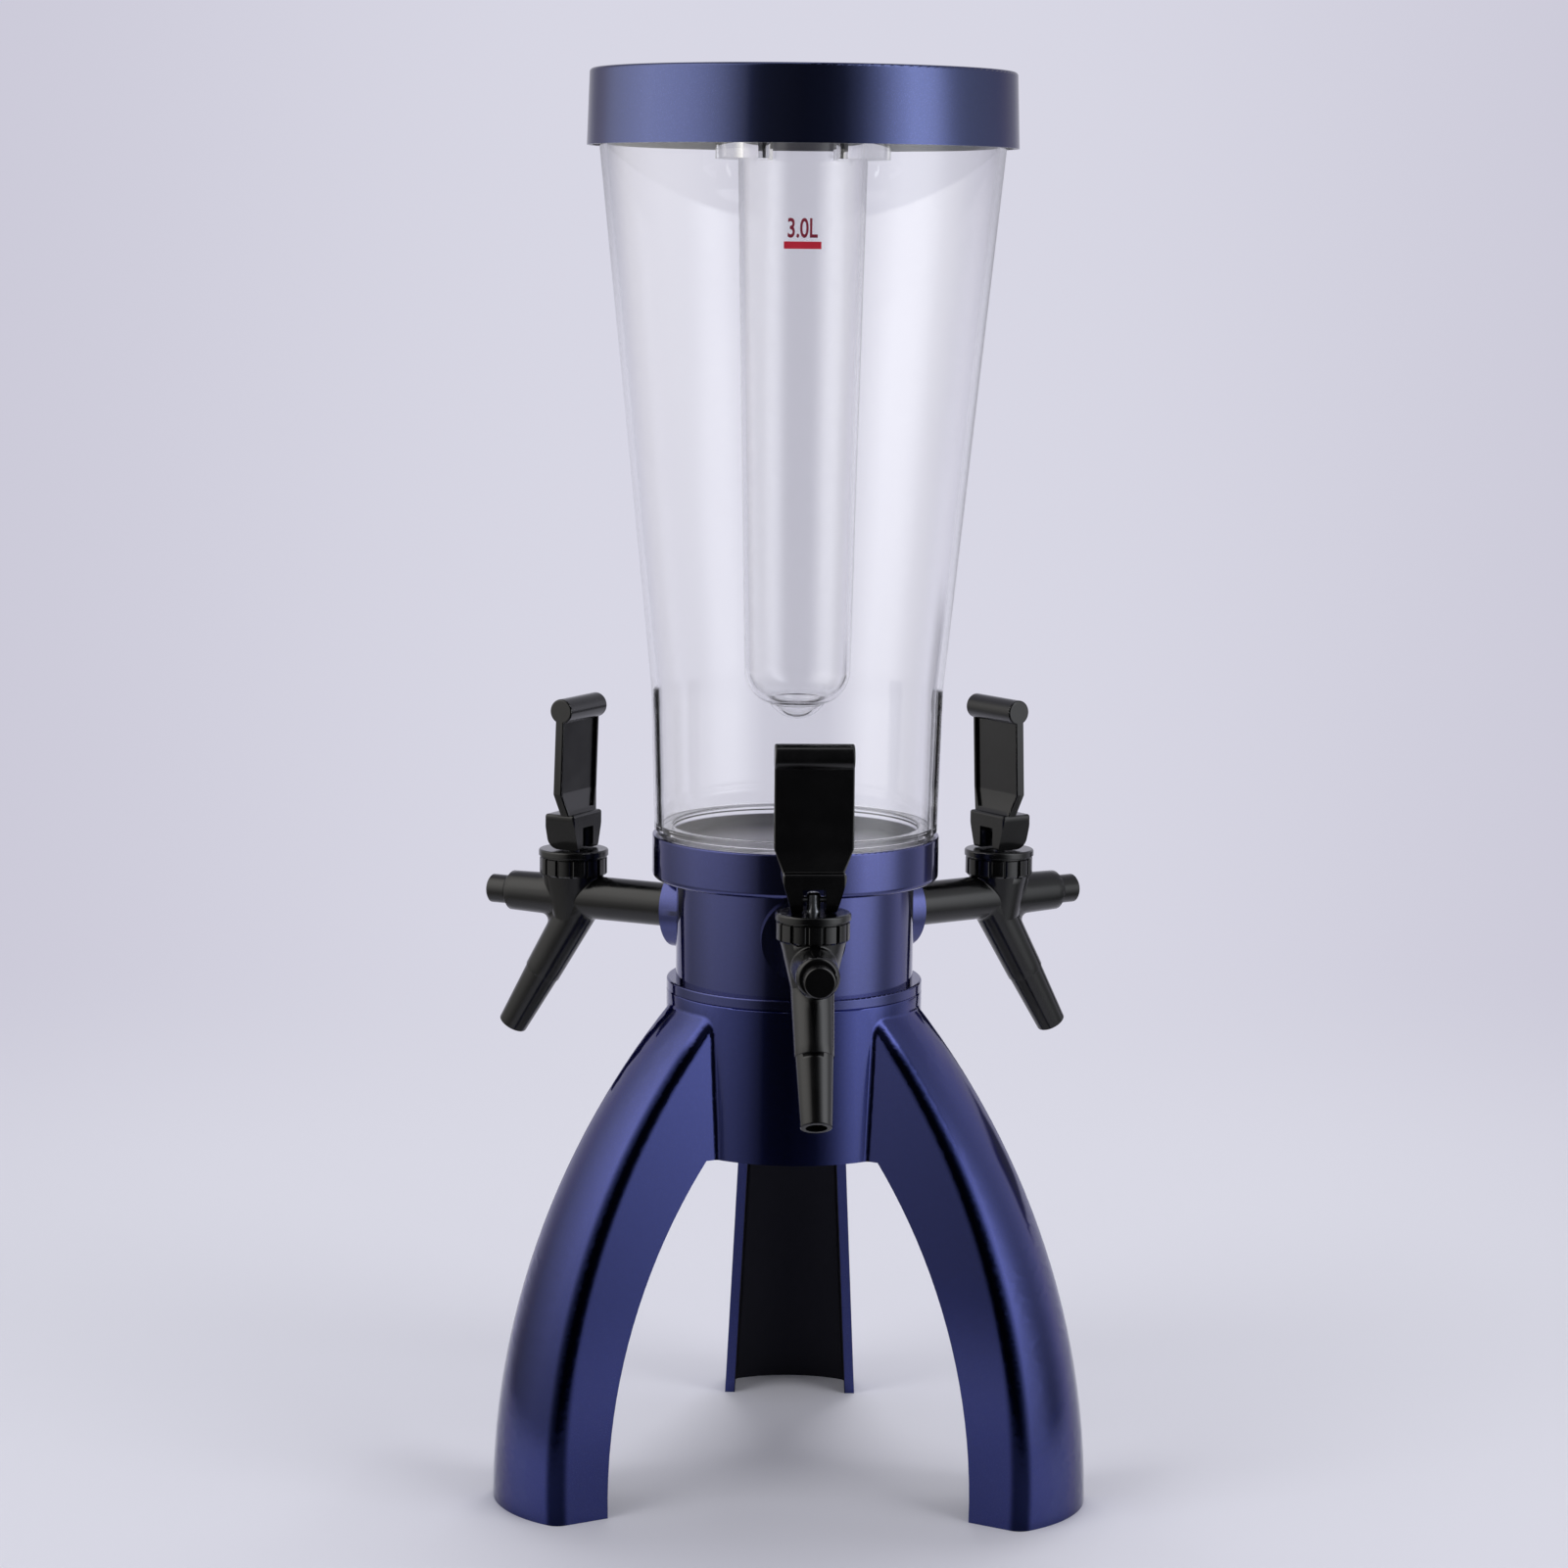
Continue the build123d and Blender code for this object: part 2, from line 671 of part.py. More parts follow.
def is_crease(edge):
    """True for an edge where two curved surfaces run into each other."""
    return edge.geom_type not in (GeomType.CIRCLE, GeomType.LINE) and edge.length > pipe_front_chamfer


def tap_body():
    """Shank, pipe, valve chamber and spout in one moulding."""
    chamber_floor = tap_height - chamber_floor_drop
    with BuildPart() as body:
        disc(pipe_plane(boss_reach), pipe_radius, valve_reach - boss_reach)
        cone(pipe_plane(valve_reach), pipe_radius, pipe_plane(pipe_front_reach), pipe_front_radius)
        chamfer(body.edges().sort_by(Axis.X)[-1], pipe_front_chamfer)
        cone(spout_plane(0), spout_root_radius, spout_plane(spout_seam_distance), spout_seam_radius)
        fillet(body.edges().filter_by(is_crease), radius=spout_blend)
        chamfer(body.edges().sort_by(Axis.Z)[0], seam_chamfer)
        cone_bottom = tap_height - cone_drop
        cone(valve_plane(cone_bottom), cone_bottom_radius, valve_plane(bonnet_bottom), cone_top_radius)
        creases = body.edges().filter_by(is_crease)
        fillet(creases.filter_by(lambda e: e.center().Z > cone_bottom), radius=cone_blend)
        disc(pipe_plane(shank_reach), shank_radius, boss_reach - shank_reach)
        disc(valve_plane(bonnet_bottom), threaded_neck_radius, threaded_neck_height)
        chamber_depth = threaded_neck_top - chamber_floor
        disc(valve_plane(chamber_floor), chamber_radius, chamber_depth + through, Mode.SUBTRACT)
        disc(valve_plane(chamber_floor), seat_radius, seat_height)
        disc(pipe_plane(shank_reach - through), inlet_radius, valve_reach - shank_reach, Mode.SUBTRACT)
        spout_bore_start = spout_plane(spout_seam_distance - spout_bore_length)
        disc(spout_bore_start, spout_bore_radius, spout_bore_length + through, Mode.SUBTRACT)
        outlet_depth = seat_top - spout_bore_start.origin.Z + outlet_radius
        disc(valve_plane(seat_top - outlet_depth), outlet_radius, outlet_depth + through, Mode.SUBTRACT)
        socket_start = spout_plane(spout_seam_distance - nozzle_socket_depth)
        disc(socket_start, nozzle_spigot_radius + snug, nozzle_socket_depth + through, Mode.SUBTRACT)
        plug_bottom = pipe_plane(pipe_front_reach - plug_depth - snug)
        disc(plug_bottom, plug_radius + snug, plug_depth + through, Mode.SUBTRACT)
    return body.part


def tap_nozzle():
    """Tapered end of the spout, held by its spigot in the spout's socket."""
    with BuildPart() as nozzle:
        seam = spout_plane(spout_seam_distance)
        cone(seam, nozzle_top_radius, spout_plane(spout_seam_distance + nozzle_length), nozzle_tip_radius)
        fillet(nozzle.edges().sort_by(Axis.Z)[0], radius=nozzle_tip_round)
        spigot_start = spout_seam_distance - nozzle_spigot_length
        disc(spout_plane(spigot_start), nozzle_spigot_radius, nozzle_spigot_length)
        bore_length = nozzle_spigot_length + nozzle_length
        disc(spout_plane(spigot_start - through), spout_bore_radius, bore_length + 2 * through, Mode.SUBTRACT)
    return nozzle.part


def tap_front_plug():
    """Plug that closes the cored front of the pipe."""
    with BuildPart() as plug:
        disc(pipe_plane(pipe_front_reach - plug_depth), plug_radius, plug_depth)
        disc(pipe_plane(pipe_front_reach), plug_head_radius, plug_head_length)
        chamfer(plug.edges().sort_by(Axis.X)[-1], plug_chamfer)
    return plug.part


def tap_shank_washer():
    """Seal between the housing's inner pad and the lock nut."""
    with BuildPart() as washer:
        with BuildSketch(pipe_plane(boss_pad_reach - washer_thickness)):
            Circle(washer_radius)
            Circle(shank_radius + snug, mode=Mode.SUBTRACT)
        extrude(amount=washer_thickness)
    return washer.part


def tap_lock_nut():
    """Hexagon nut that pulls the tap against its boss from inside the housing."""
    with BuildPart() as nut:
        with BuildSketch(pipe_plane(boss_pad_reach - washer_thickness - lock_nut_thickness)):
            RegularPolygon(lock_nut_flats / 2, 6, major_radius=False)
            Circle(shank_radius + snug, mode=Mode.SUBTRACT)
        extrude(amount=lock_nut_thickness)
    return nut.part


def tap_bonnet_nut():
    """Grooved cap that screws over the neck of the valve chamber and guides the stem."""
    with BuildPart() as nut:
        disc(valve_plane(bonnet_bottom), bonnet_radius, bonnet_height)
        with BuildSketch(valve_plane(bonnet_bottom)):
            with PolarLocations(bonnet_radius, bonnet_groove_count):
                Rectangle(2 * bonnet_groove_depth, bonnet_groove_width)
        extrude(amount=bonnet_height - bonnet_rim_height, mode=Mode.SUBTRACT)
        disc(valve_plane(bonnet_top - bonnet_rim_height), bonnet_rim_radius, bonnet_rim_height)
        fillet(nut.edges().group_by(Axis.Z)[-1], radius=bonnet_rim_round)
        neck_bore = threaded_neck_radius + snug
        neck_depth = gland_top - bonnet_bottom
        disc(valve_plane(bonnet_bottom - through), neck_bore, neck_depth + through, Mode.SUBTRACT)
        stem_bore = stem_radius + running
        disc(valve_plane(gland_top - through), stem_bore, bonnet_top_plate + 2 * through, Mode.SUBTRACT)
    return nut.part


def tap_gland():
    """Plug in the chamber's mouth that guides the stem and holds its sealing ring."""
    with BuildPart() as gland:
        disc(valve_plane(gland_bottom), chamber_radius - snug, gland_flange_bottom - gland_bottom)
        disc(valve_plane(gland_flange_bottom), threaded_neck_radius, gland_flange)
        gland_height = gland_top - gland_bottom
        stem_bore = stem_radius + running
        disc(valve_plane(gland_bottom - through), stem_bore, gland_height + 2 * through, Mode.SUBTRACT)
        oring_seat = gland_top - 2 * oring_wire - snug
        disc(valve_plane(oring_seat), stem_radius + 2 * (oring_wire + snug), gland_height, Mode.SUBTRACT)
    return gland.part


def tap_stem_ring():
    """Rubber sealing ring round the stem."""
    with BuildPart() as sealing_ring:
        with Locations(valve_plane(gland_top - oring_wire - snug / 2)):
            Torus(stem_radius + oring_wire + snug, oring_wire)
    return sealing_ring.part


def tap_stem():
    """Stem with the spring's seat at its foot and the pivot hole at its head."""
    with BuildPart() as stem:
        stud_bottom = seal_bottom + seal_stud_cover
        disc(valve_plane(stud_bottom), seal_stud_radius, seal_top - stud_bottom)
        disc(valve_plane(seal_top), stem_foot_radius, stem_foot_thickness)
        disc(valve_plane(stem_foot_top), stem_radius, pin_height + stem_crown - stem_foot_top)
        fillet(stem.edges().group_by(Axis.Z)[-1], radius=stem_head_round)
        with BuildSketch(Plane.XZ) as cross_hole:
            with Locations((valve_reach, pin_height)):
                Circle(pin_radius + snug)
        extrude(cross_hole.sketch, amount=stem_radius + through, both=True, mode=Mode.SUBTRACT)
    return stem.part


def tap_seal():
    """Rubber disc on the stem's foot that closes the valve's seat."""
    with BuildPart() as seal:
        disc(valve_plane(seal_bottom), stem_foot_radius, seal_thickness)
        stud_bottom = seal_bottom + seal_stud_cover
        disc(valve_plane(stud_bottom - snug), seal_stud_radius + snug, seal_thickness, Mode.SUBTRACT)
    return seal.part


def tap_spring():
    """Compression spring that holds the seal on its seat."""
    low = stem_foot_top + spring_wire + snug
    height = gland_bottom - spring_wire - snug - low
    pitch = height / spring_turns
    coil = Helix(pitch=pitch, height=height, radius=spring_radius, center=(valve_reach, 0, low))
    with BuildPart() as spring:
        with BuildSketch(Plane(origin=coil @ 0, z_dir=coil % 0)) as wire_end:
            Circle(spring_wire)
        sweep(wire_end.sketch, path=coil, is_frenet=True)
    return spring.part


def tap_pivot_pin():
    """Cross pin through the stem's head that the lever turns on."""
    with BuildPart() as pin:
        with BuildSketch(Plane.XZ):
            with Locations((valve_reach, pin_height)):
                Circle(pin_radius)
        extrude(amount=pin_half_length, both=True)
    return pin.part


def blade_outline(inset):
    """Front view of the blade in (Y, Z): straight sides that draw in to the yoke."""
    half = blade_width / 2 - inset
    foot_half = blade_foot_width / 2 - inset
    foot = blade_foot + 2 * inset
    with BuildSketch(Plane.YZ) as outline:
        with BuildLine():
            Polyline(
                (-foot_half, foot), (foot_half, foot), (half, blade_taper_top), (half, blade_top),
                (-half, blade_top), (-half, blade_taper_top), close=True,
            )
        make_face()
    return outline.sketch


def blade_side(front_shift, back_shift):
    """Side view of the blade in (X, Z), between two depths behind its front face."""
    front = [
        (valve_reach - blade_foot_setback, blade_foot),
        (valve_reach + blade_middle_lead, blade_taper_top),
        (valve_reach + blade_top_lead, blade_top),
    ]
    outline = [(x - front_shift, z) for x, z in front] + [(x - back_shift, z) for x, z in reversed(front)]
    with BuildSketch(Plane.XZ) as side:
        with BuildLine():
            Polyline(*outline, close=True)
        make_face()
    return side.sketch


def blade_slab(inset, front_shift, back_shift):
    """Blade, or the recess in its back, as the meeting of its front and side views."""
    with BuildPart() as slab:
        extrude(blade_outline(inset), amount=2 * valve_reach)
        extrude(blade_side(front_shift, back_shift), amount=blade_width, both=True, mode=Mode.INTERSECT)
    return slab.part


def yoke_block():
    """Tapered block with a slot for the stem and a round cam foot at its front."""
    back = valve_reach - yoke_back
    with BuildPart() as yoke:
        with BuildSketch(Plane.YZ.offset(back)):
            with BuildLine():
                Polyline(
                    (-yoke_bottom_half_width, yoke_bottom),
                    (yoke_bottom_half_width, yoke_bottom),
                    (yoke_top_half_width, yoke_top - yoke_shoulder),
                    (yoke_top_half_width, yoke_top),
                    (-yoke_top_half_width, yoke_top),
                    (-yoke_top_half_width, yoke_top - yoke_shoulder),
                    close=True,
                )
            make_face()
        extrude(amount=yoke_front - back)
        fillet(yoke.edges().filter_by(Axis.X).group_by(Axis.Z)[-1], radius=yoke_round)
        fillet(yoke.edges().filter_by(Axis.Y).group_by(Axis.Z)[0].sort_by(Axis.X)[-1], radius=cam_radius)
        fillet(yoke.edges().filter_by(Axis.Y).group_by(Axis.Z)[0].sort_by(Axis.X)[0], radius=yoke_round)
        fillet(yoke.edges().filter_by(Axis.Y).group_by(Axis.Z)[-1], radius=yoke_round)
    return yoke.part


def roll_bar():
    """Rounded bar along the top of the blade."""
    with BuildPart() as roll:
        with BuildSketch(Plane.XZ) as roll_end:
            with Locations((roll_reach, roll_height)):
                Circle(roll_radius)
        extrude(roll_end.sketch, amount=blade_width / 2, both=True)
        fillet(roll.edges().filter_by(GeomType.CIRCLE), radius=roll_round)
    return roll.part


def runs_upwards(edge):
    """True for an edge that runs more up than across."""
    direction = edge % 0
    return abs(direction.Z) > abs(direction.X) + abs(direction.Y)


def tap_lever():
    """Handle with a roll at its top, a blade panelled at the back and a forked cam foot."""
    with BuildPart() as lever:
        add(blade_slab(0, 0, blade_thickness))
        fillet(lever.edges().filter_by(runs_upwards), radius=blade_round)
        panel_floor = blade_thickness - panel_depth
        add(blade_slab(panel_rim, panel_floor, blade_thickness + through), mode=Mode.SUBTRACT)
        add(yoke_block())
        add(roll_bar())
        with BuildSketch(Plane.YZ.offset(valve_reach - yoke_back - through)) as slot:
            with Locations((0, yoke_bottom + fork_depth / 2 - through / 2)):
                Rectangle(2 * fork_half_gap, fork_depth + through)
        extrude(slot.sketch, amount=yoke_front + yoke_back - valve_reach + 2 * through, mode=Mode.SUBTRACT)
        with BuildSketch(Plane.XZ) as pin_sockets:
            with Locations((valve_reach, pin_height)):
                Circle(pin_radius + running)
        extrude(pin_sockets.sketch, amount=pin_half_length + slip, both=True, mode=Mode.SUBTRACT)
    return lever.part


tap_pieces = {
    "body": tap_body(),
    "nozzle": tap_nozzle(),
    "front_plug": tap_front_plug(),
    "shank_washer": tap_shank_washer(),
    "lock_nut": tap_lock_nut(),
    "bonnet_nut": tap_bonnet_nut(),
    "gland": tap_gland(),
    "stem_ring": tap_stem_ring(),
    "stem": tap_stem(),
    "seal": tap_seal(),
    "spring": tap_spring(),
    "pivot_pin": tap_pivot_pin(),
    "lever": tap_lever(),
}

for number, tap_angle in enumerate(tap_angles, start=1):
    for piece_name, piece in tap_pieces.items():
        placed = piece.rotate(Axis.Z, tap_angle)
        placed.label = f"tap_{number}_{piece_name}"
        export_step(placed, f"parts/{placed.label}.step")
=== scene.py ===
import json
from math import acos, cos, pi, radians, sin, sqrt, tan

import bmesh
import bpy
from mathutils import Matrix, Vector


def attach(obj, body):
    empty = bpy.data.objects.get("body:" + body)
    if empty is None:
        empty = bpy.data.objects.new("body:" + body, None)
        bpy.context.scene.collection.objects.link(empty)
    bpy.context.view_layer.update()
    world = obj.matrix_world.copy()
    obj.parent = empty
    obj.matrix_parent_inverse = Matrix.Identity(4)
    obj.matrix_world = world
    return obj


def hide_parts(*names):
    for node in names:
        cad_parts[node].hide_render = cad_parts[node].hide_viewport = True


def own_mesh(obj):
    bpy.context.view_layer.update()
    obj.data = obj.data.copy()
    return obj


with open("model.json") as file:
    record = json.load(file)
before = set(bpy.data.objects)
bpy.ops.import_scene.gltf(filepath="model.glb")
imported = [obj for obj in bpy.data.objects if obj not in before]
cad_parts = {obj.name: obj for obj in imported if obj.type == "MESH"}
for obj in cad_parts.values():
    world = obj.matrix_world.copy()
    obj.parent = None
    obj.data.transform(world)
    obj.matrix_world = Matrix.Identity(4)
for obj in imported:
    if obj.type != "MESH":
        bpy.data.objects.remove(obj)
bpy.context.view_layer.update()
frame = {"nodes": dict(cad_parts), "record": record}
mm = 0.001  # sizes below are in millimetres, meshes are in metres
record = frame["record"]
bodyOf = {node: body for body, nodes in record["behaviour"]["bodies"].items() for node in nodes}
slotOf = {part["node"]: part["material_slot"] for part in record["subparts"]}


def addObject(name, data):
    made = bpy.data.objects.new(name, data)
    bpy.context.scene.collection.objects.link(made)
    return made


def meshOf(made):  # what its modifiers make of an object, which then goes
    mesh = bpy.data.meshes.new_from_object(made.evaluated_get(bpy.context.evaluated_depsgraph_get()))
    bpy.data.objects.remove(made)
    return mesh


# camera

viewpoint = {
    "place": (0.0, -1.60917, 0.51786),
    "pitch": -8.077,  # degrees, below the horizon
    "yaw": 0.179,
    "roll": 0.606,
    "lens": 90.53,
    "sensor": 36.0,
    "clip": (0.05, 60.0),
}


def makeCamera(values):
    data = bpy.data.cameras.new("camera")
    data.lens = values["lens"]
    data.sensor_width = values["sensor"]
    data.clip_start, data.clip_end = values["clip"]
    camera = addObject("camera", data)
    camera.matrix_world = (
        Matrix.Translation(values["place"])
        @ Matrix.Rotation(radians(values["yaw"]), 4, "Z")
        @ Matrix.Rotation(radians(90 + values["pitch"]), 4, "X")
        @ Matrix.Rotation(radians(values["roll"]), 4, "Z")
    )
    bpy.context.scene.camera = camera


makeCamera(viewpoint)
print("camera placed")


# node maths: a Wire is a socket that takes part in Python sums


class Wire:
    def __init__(self, board, socket):
        self.board = board
        self.socket = socket

    def maths(self, operation, *values):
        return self.board.add("ShaderNodeMath", {"operation": operation}, list(values))

    def __add__(self, other):
        return self.maths("ADD", self, other)

    def __radd__(self, other):
        return self.maths("ADD", other, self)

    def __sub__(self, other):
        return self.maths("SUBTRACT", self, other)

    def __rsub__(self, other):
        return self.maths("SUBTRACT", other, self)

    def __mul__(self, other):
        return self.maths("MULTIPLY", self, other)

    def __rmul__(self, other):
        return self.maths("MULTIPLY", other, self)

    def __truediv__(self, other):
        return self.maths("DIVIDE", self, other)

    def __rtruediv__(self, other):
        return self.maths("DIVIDE", other, self)

    def __abs__(self):
        return self.maths("ABSOLUTE", self)

    def __lt__(self, other):
        return self.maths("LESS_THAN", self, other)

    def __gt__(self, other):
        return self.maths("GREATER_THAN", self, other)

    def root(self):
        return self.maths("SQRT", self.high(0.0))

    def power(self, exponent):
        return self.maths("POWER", self.high(0.0), exponent)

    def high(self, other):
        return self.maths("MAXIMUM", self, other)

    def wholePart(self):
        return self.maths("FLOOR", self)

    def between(self, start, end):  # 0 up to start and 1 from end, smooth in between
        ends = {"Value": self, "From Min": start, "From Max": end}
        return self.board.add("ShaderNodeMapRange", {"interpolation_type": "SMOOTHSTEP"}, ends)


def setStops(ramp, stops):  # grey levels along a colour ramp
    while len(ramp.elements) > 1:
        ramp.elements.remove(ramp.elements[-1])
    for number, (place, level) in enumerate(stops):
        element = ramp.elements[0] if number == 0 else ramp.elements.new(place)
        element.position = place
        element.color = (level, level, level, 1.0)


class Board:
    def __init__(self, tree):
        self.tree = tree
        tree.nodes.clear()

    def add(self, kind, settings=None, inputs=None, output=0):
        node = self.tree.nodes.new(kind)
        for key, value in (settings or {}).items():
            if key == "stops":
                setStops(node.color_ramp, value)
            else:
                setattr(node, key, value)
        pairs = enumerate(inputs) if isinstance(inputs, list) else (inputs or {}).items()
        for key, value in pairs:
            socket = node.inputs[key]
            if isinstance(value, Wire):
                self.tree.links.new(value.socket, socket)
            elif socket.type == "RGBA" and len(value) == 3:
                socket.default_value = (*value, 1.0)
            else:
                socket.default_value = value
        return Wire(self, node.outputs[output]) if node.outputs else node

    def coordinates(self):
        return self.add("ShaderNodeTexCoord", output="Object")

    def every(self, wire):  # all the outputs of the node that a wire comes from
        return [Wire(self, socket) for socket in wire.socket.node.outputs]

    def split(self, vector):
        return self.every(self.add("ShaderNodeSeparateXYZ", inputs=[vector]))

    def blend(self, share, first, second):  # inputs 6 and 7 and output 2 are the Mix node's colours
        return self.add("ShaderNodeMix", {"data_type": "RGBA"}, {0: share, 6: first, 7: second}, 2)

    def noise(self, scale, detail=2.0):
        inputs = {"Vector": self.coordinates(), "Scale": scale, "Detail": detail, "Roughness": 0.5}
        return self.add("ShaderNodeTexNoise", inputs=inputs)

    def bump(self, height, distance):
        inputs = {"Height": height, "Distance": distance, "Strength": 1.0}
        return self.add("ShaderNodeBump", inputs=inputs)

    def spread(self, roughness, cloud, width):  # a roughness that varies with a noise
        return roughness + (cloud - 0.5) * width

    def mixShaders(self, share, first, second):
        return self.add("ShaderNodeMixShader", inputs=[share, first, second])

    def millimetres(self):  # the place on the object, as x, y, z and the distance from the tower's axis
        x, y, z = (part * (1 / mm) for part in self.split(self.coordinates()))
        return x, y, z, (x * x + y * y).root()


def newFinish(name):
    material = bpy.data.materials.new(name)
    material.use_nodes = True
    return material, Board(material.node_tree)


def setSurface(board, shader):
    board.add("ShaderNodeOutputMaterial", inputs={"Surface": shader})


# finishes

paint = {
    "colour": (0.036, 0.044, 0.17),
    "flake": (0.054, 0.066, 0.23),  # the brighter grains in it
    "flakeScale": 2600.0,
    "flakeEdge": (0.52, 0.74),  # where in the noise a flake begins and is full
    "flakeShare": 0.8,
    "thinColour": (0.006, 0.009, 0.04),  # painted shade: the darker colour along the legs' outer corners
    "thinCoat": 0.9,  # how much of the coat's reflection that painted shade takes away
    "rawColour": (0.0075, 0.0075, 0.009),  # black plastic where the paint doesn't reach
    "roughness": 0.17,
    "roughSpread": 0.07,
    "cloudScale": 26.0,
    "rawRoughness": 0.5,
    "wrap": 0.35,  # millimetres that it goes round the edges of a wall
    "edgeTint": (0.28, 0.28, 0.41),
    "coat": 0.9,
    "coatRoughness": 0.06,
    "coatIndex": 1.5,
    "grain": 0.004,  # millimetres
    "grainScale": 150.0,
}
# the same paint in other tones for the stand and the lid, set to how each part looks under its light:
# painted light and shade
standPaint = dict(paint, colour=(0.018, 0.028, 0.17), flake=(0.036, 0.05, 0.23))
lidPaint = dict(paint, colour=(0.036, 0.05, 0.155), flake=(0.056, 0.074, 0.21))


def paintShader(board, values, raw=None, thin=None):
    flakes = board.noise(values["flakeScale"], 1.0).between(*values["flakeEdge"])
    cloud = board.noise(values["cloudScale"], 3.0)
    colour = board.blend(flakes * values["flakeShare"], values["colour"], values["flake"])
    roughness = board.spread(values["roughness"], cloud, values["roughSpread"])
    inputs = {
        "Base Color": colour,
        "Metallic": 1.0,
        "Roughness": roughness,
        "Specular Tint": values["edgeTint"],
        "Coat Weight": values["coat"],
        "Coat Roughness": values["coatRoughness"],
        "Coat IOR": values["coatIndex"],
        "Normal": board.bump(board.noise(values["grainScale"]) * values["grain"], mm),
    }
    # painted shade: a darker colour and less coat where the corner mask is one
    if thin is not None:
        inputs["Base Color"] = colour = board.blend(thin, colour, values["thinColour"])
        inputs["Coat Weight"] = values["coat"] * (1 - thin * values["thinCoat"])
    if raw is not None:
        inputs["Base Color"] = board.blend(raw, colour, values["rawColour"])
        inputs["Metallic"] = 1 - raw
        inputs["Roughness"] = roughness + raw * (values["rawRoughness"] - values["roughness"])
        inputs["Coat Weight"] = (1 - raw) * inputs["Coat Weight"]
    return board.add("ShaderNodeBsdfPrincipled", inputs=inputs)


legs = {  # outside sizes of the stand's legs, for its unpainted inside and the painted shade at their corners
    "count": 3,
    "firstAngle": 90.0,
    "footWidth": 57.8,
    "shoulderWidth": 38.9,
    "shoulderHeight": 199.0,
    "footReach": 132.5,
    "drumRadius": 52.9,
    "drumWall": 3.6,
    "bow": 20.3,
    "faceRadius": 52.0,
    "wall": 4.4,
    "corner": (2.5, 5.5),  # distances from the legs' outer corners over which the painted shade fades out
    "crownShare": 0.93,  # how much of that distance counts across the crown
    "cornerEnd": (184.0, 192.0),  # heights over which the corners run out into the drum
    "beyond": 1.0,  # how far past the legs' sides they still count as legs
}


def crownReach(board, values, z):
    reach = values["footReach"] - values["drumRadius"]
    height = values["shoulderHeight"]
    half = sqrt(reach**2 + height**2) / 2
    radius = (half**2 + values["bow"] ** 2) / (2 * values["bow"])
    inward = radius - values["bow"]
    centreReach = (values["footReach"] + values["drumRadius"]) / 2 - height / (2 * half) * inward
    centreHeight = height / 2 - reach / (2 * half) * inward
    rise = z - centreHeight
    return centreReach + (radius**2 - rise * rise).root()


def standFinish(values, shape):
    material, board = newFinish("metallicBlueStand")
    x, y, z, reach = board.millimetres()
    sector = 2 * pi / shape["count"]
    angle = board.add("ShaderNodeMath", {"operation": "ARCTAN2"}, [y, x]) - radians(shape["firstAngle"])
    turns = angle / sector + 0.5
    folded = (turns - turns.wholePart() - 0.5) * sector
    along = reach * board.add("ShaderNodeMath", {"operation": "COSINE"}, [folded])
    across = abs(reach * board.add("ShaderNodeMath", {"operation": "SINE"}, [folded]))
    skin = shape["wall"] - values["wrap"]
    taper = (shape["footWidth"] - shape["shoulderWidth"]) / shape["shoulderHeight"]
    halfWidth = (shape["footWidth"] - taper * z) / 2
    face = shape["faceRadius"]
    bulge = (face**2 - across * across).root() - face
    crown = crownReach(board, shape, z) + bulge
    channel = (across < halfWidth - skin) * (along < crown - skin)
    drum = reach < shape["drumRadius"] - shape["drumWall"] + values["wrap"]
    inwards = halfWidth - across
    # painted shade along the legs' outer corners, standing for the dark reflection on their rounded
    # corners
    thin = 1 - (inwards + (crown - along) * shape["crownShare"]).between(*shape["corner"])
    onLeg = (inwards > -shape["beyond"]) * (1 - z.between(*shape["cornerEnd"]))
    setSurface(board, paintShader(board, values, channel.high(drum), thin * onLeg))
    return material


housingInside = {
    "chamberRadius": 46.0,
    "seatRadius": 56.7,
    "seatHeight": 253.5,
    "liner": (257.5, 265.0),  # heights between which the pale painted reflection inside gives way to the dark painted reflection at the lip
    "linerColour": (0.8, 0.79, 0.84),
    "lipColour": (0.15, 0.15, 0.16),
}


def housingFinish(values, shape):
    material, board = newFinish("metallicBlueHousing")
    z, reach = board.millimetres()[2:]
    chamber = reach < shape["chamberRadius"] + values["wrap"]
    seat = (reach < shape["seatRadius"] + values["wrap"]) * (z > shape["seatHeight"])
    # a painted reflection on the unpainted inside: pale low down for the bright surroundings, dark at
    # the lip
    inside = board.blend(z.between(*shape["liner"]), shape["linerColour"], shape["lipColour"])
    setSurface(board, paintShader(board, dict(values, rawColour=inside), chamber.high(seat)))
    return material


lidShape = {"bottom": 548.8, "height": 30.3, "bottomRadius": 87.1, "topRadius": 86.0}
lidInside = {"colour": (0.38, 0.38, 0.39), "roughness": 0.45, "skin": 0.5, "height": 577.0}


def lidFinish(values, inside, lid):
    material, board = newFinish("metallicBlueLid")
    z, reach = board.millimetres()[2:]
    slope = (lid["bottomRadius"] - lid["topRadius"]) / lid["height"]
    side = lid["bottomRadius"] - (z - lid["bottom"]) * slope
    within = (reach < side - inside["skin"]) * (z < inside["height"])
    raw = dict(values, rawColour=inside["colour"], rawRoughness=inside["roughness"])
    setSurface(board, paintShader(board, raw, within))
    return material


satinBlack = {
    "colour": (0.001, 0.001, 0.0012),
    "worn": (0.0026, 0.0026, 0.0028),
    "wornScale": 90.0,
    "wornEdge": (0.35, 0.8),
    "roughness": 0.2,
    "roughSpread": 0.1,
    "grain": 0.003,  # millimetres
    "grainScale": 1500.0,
}


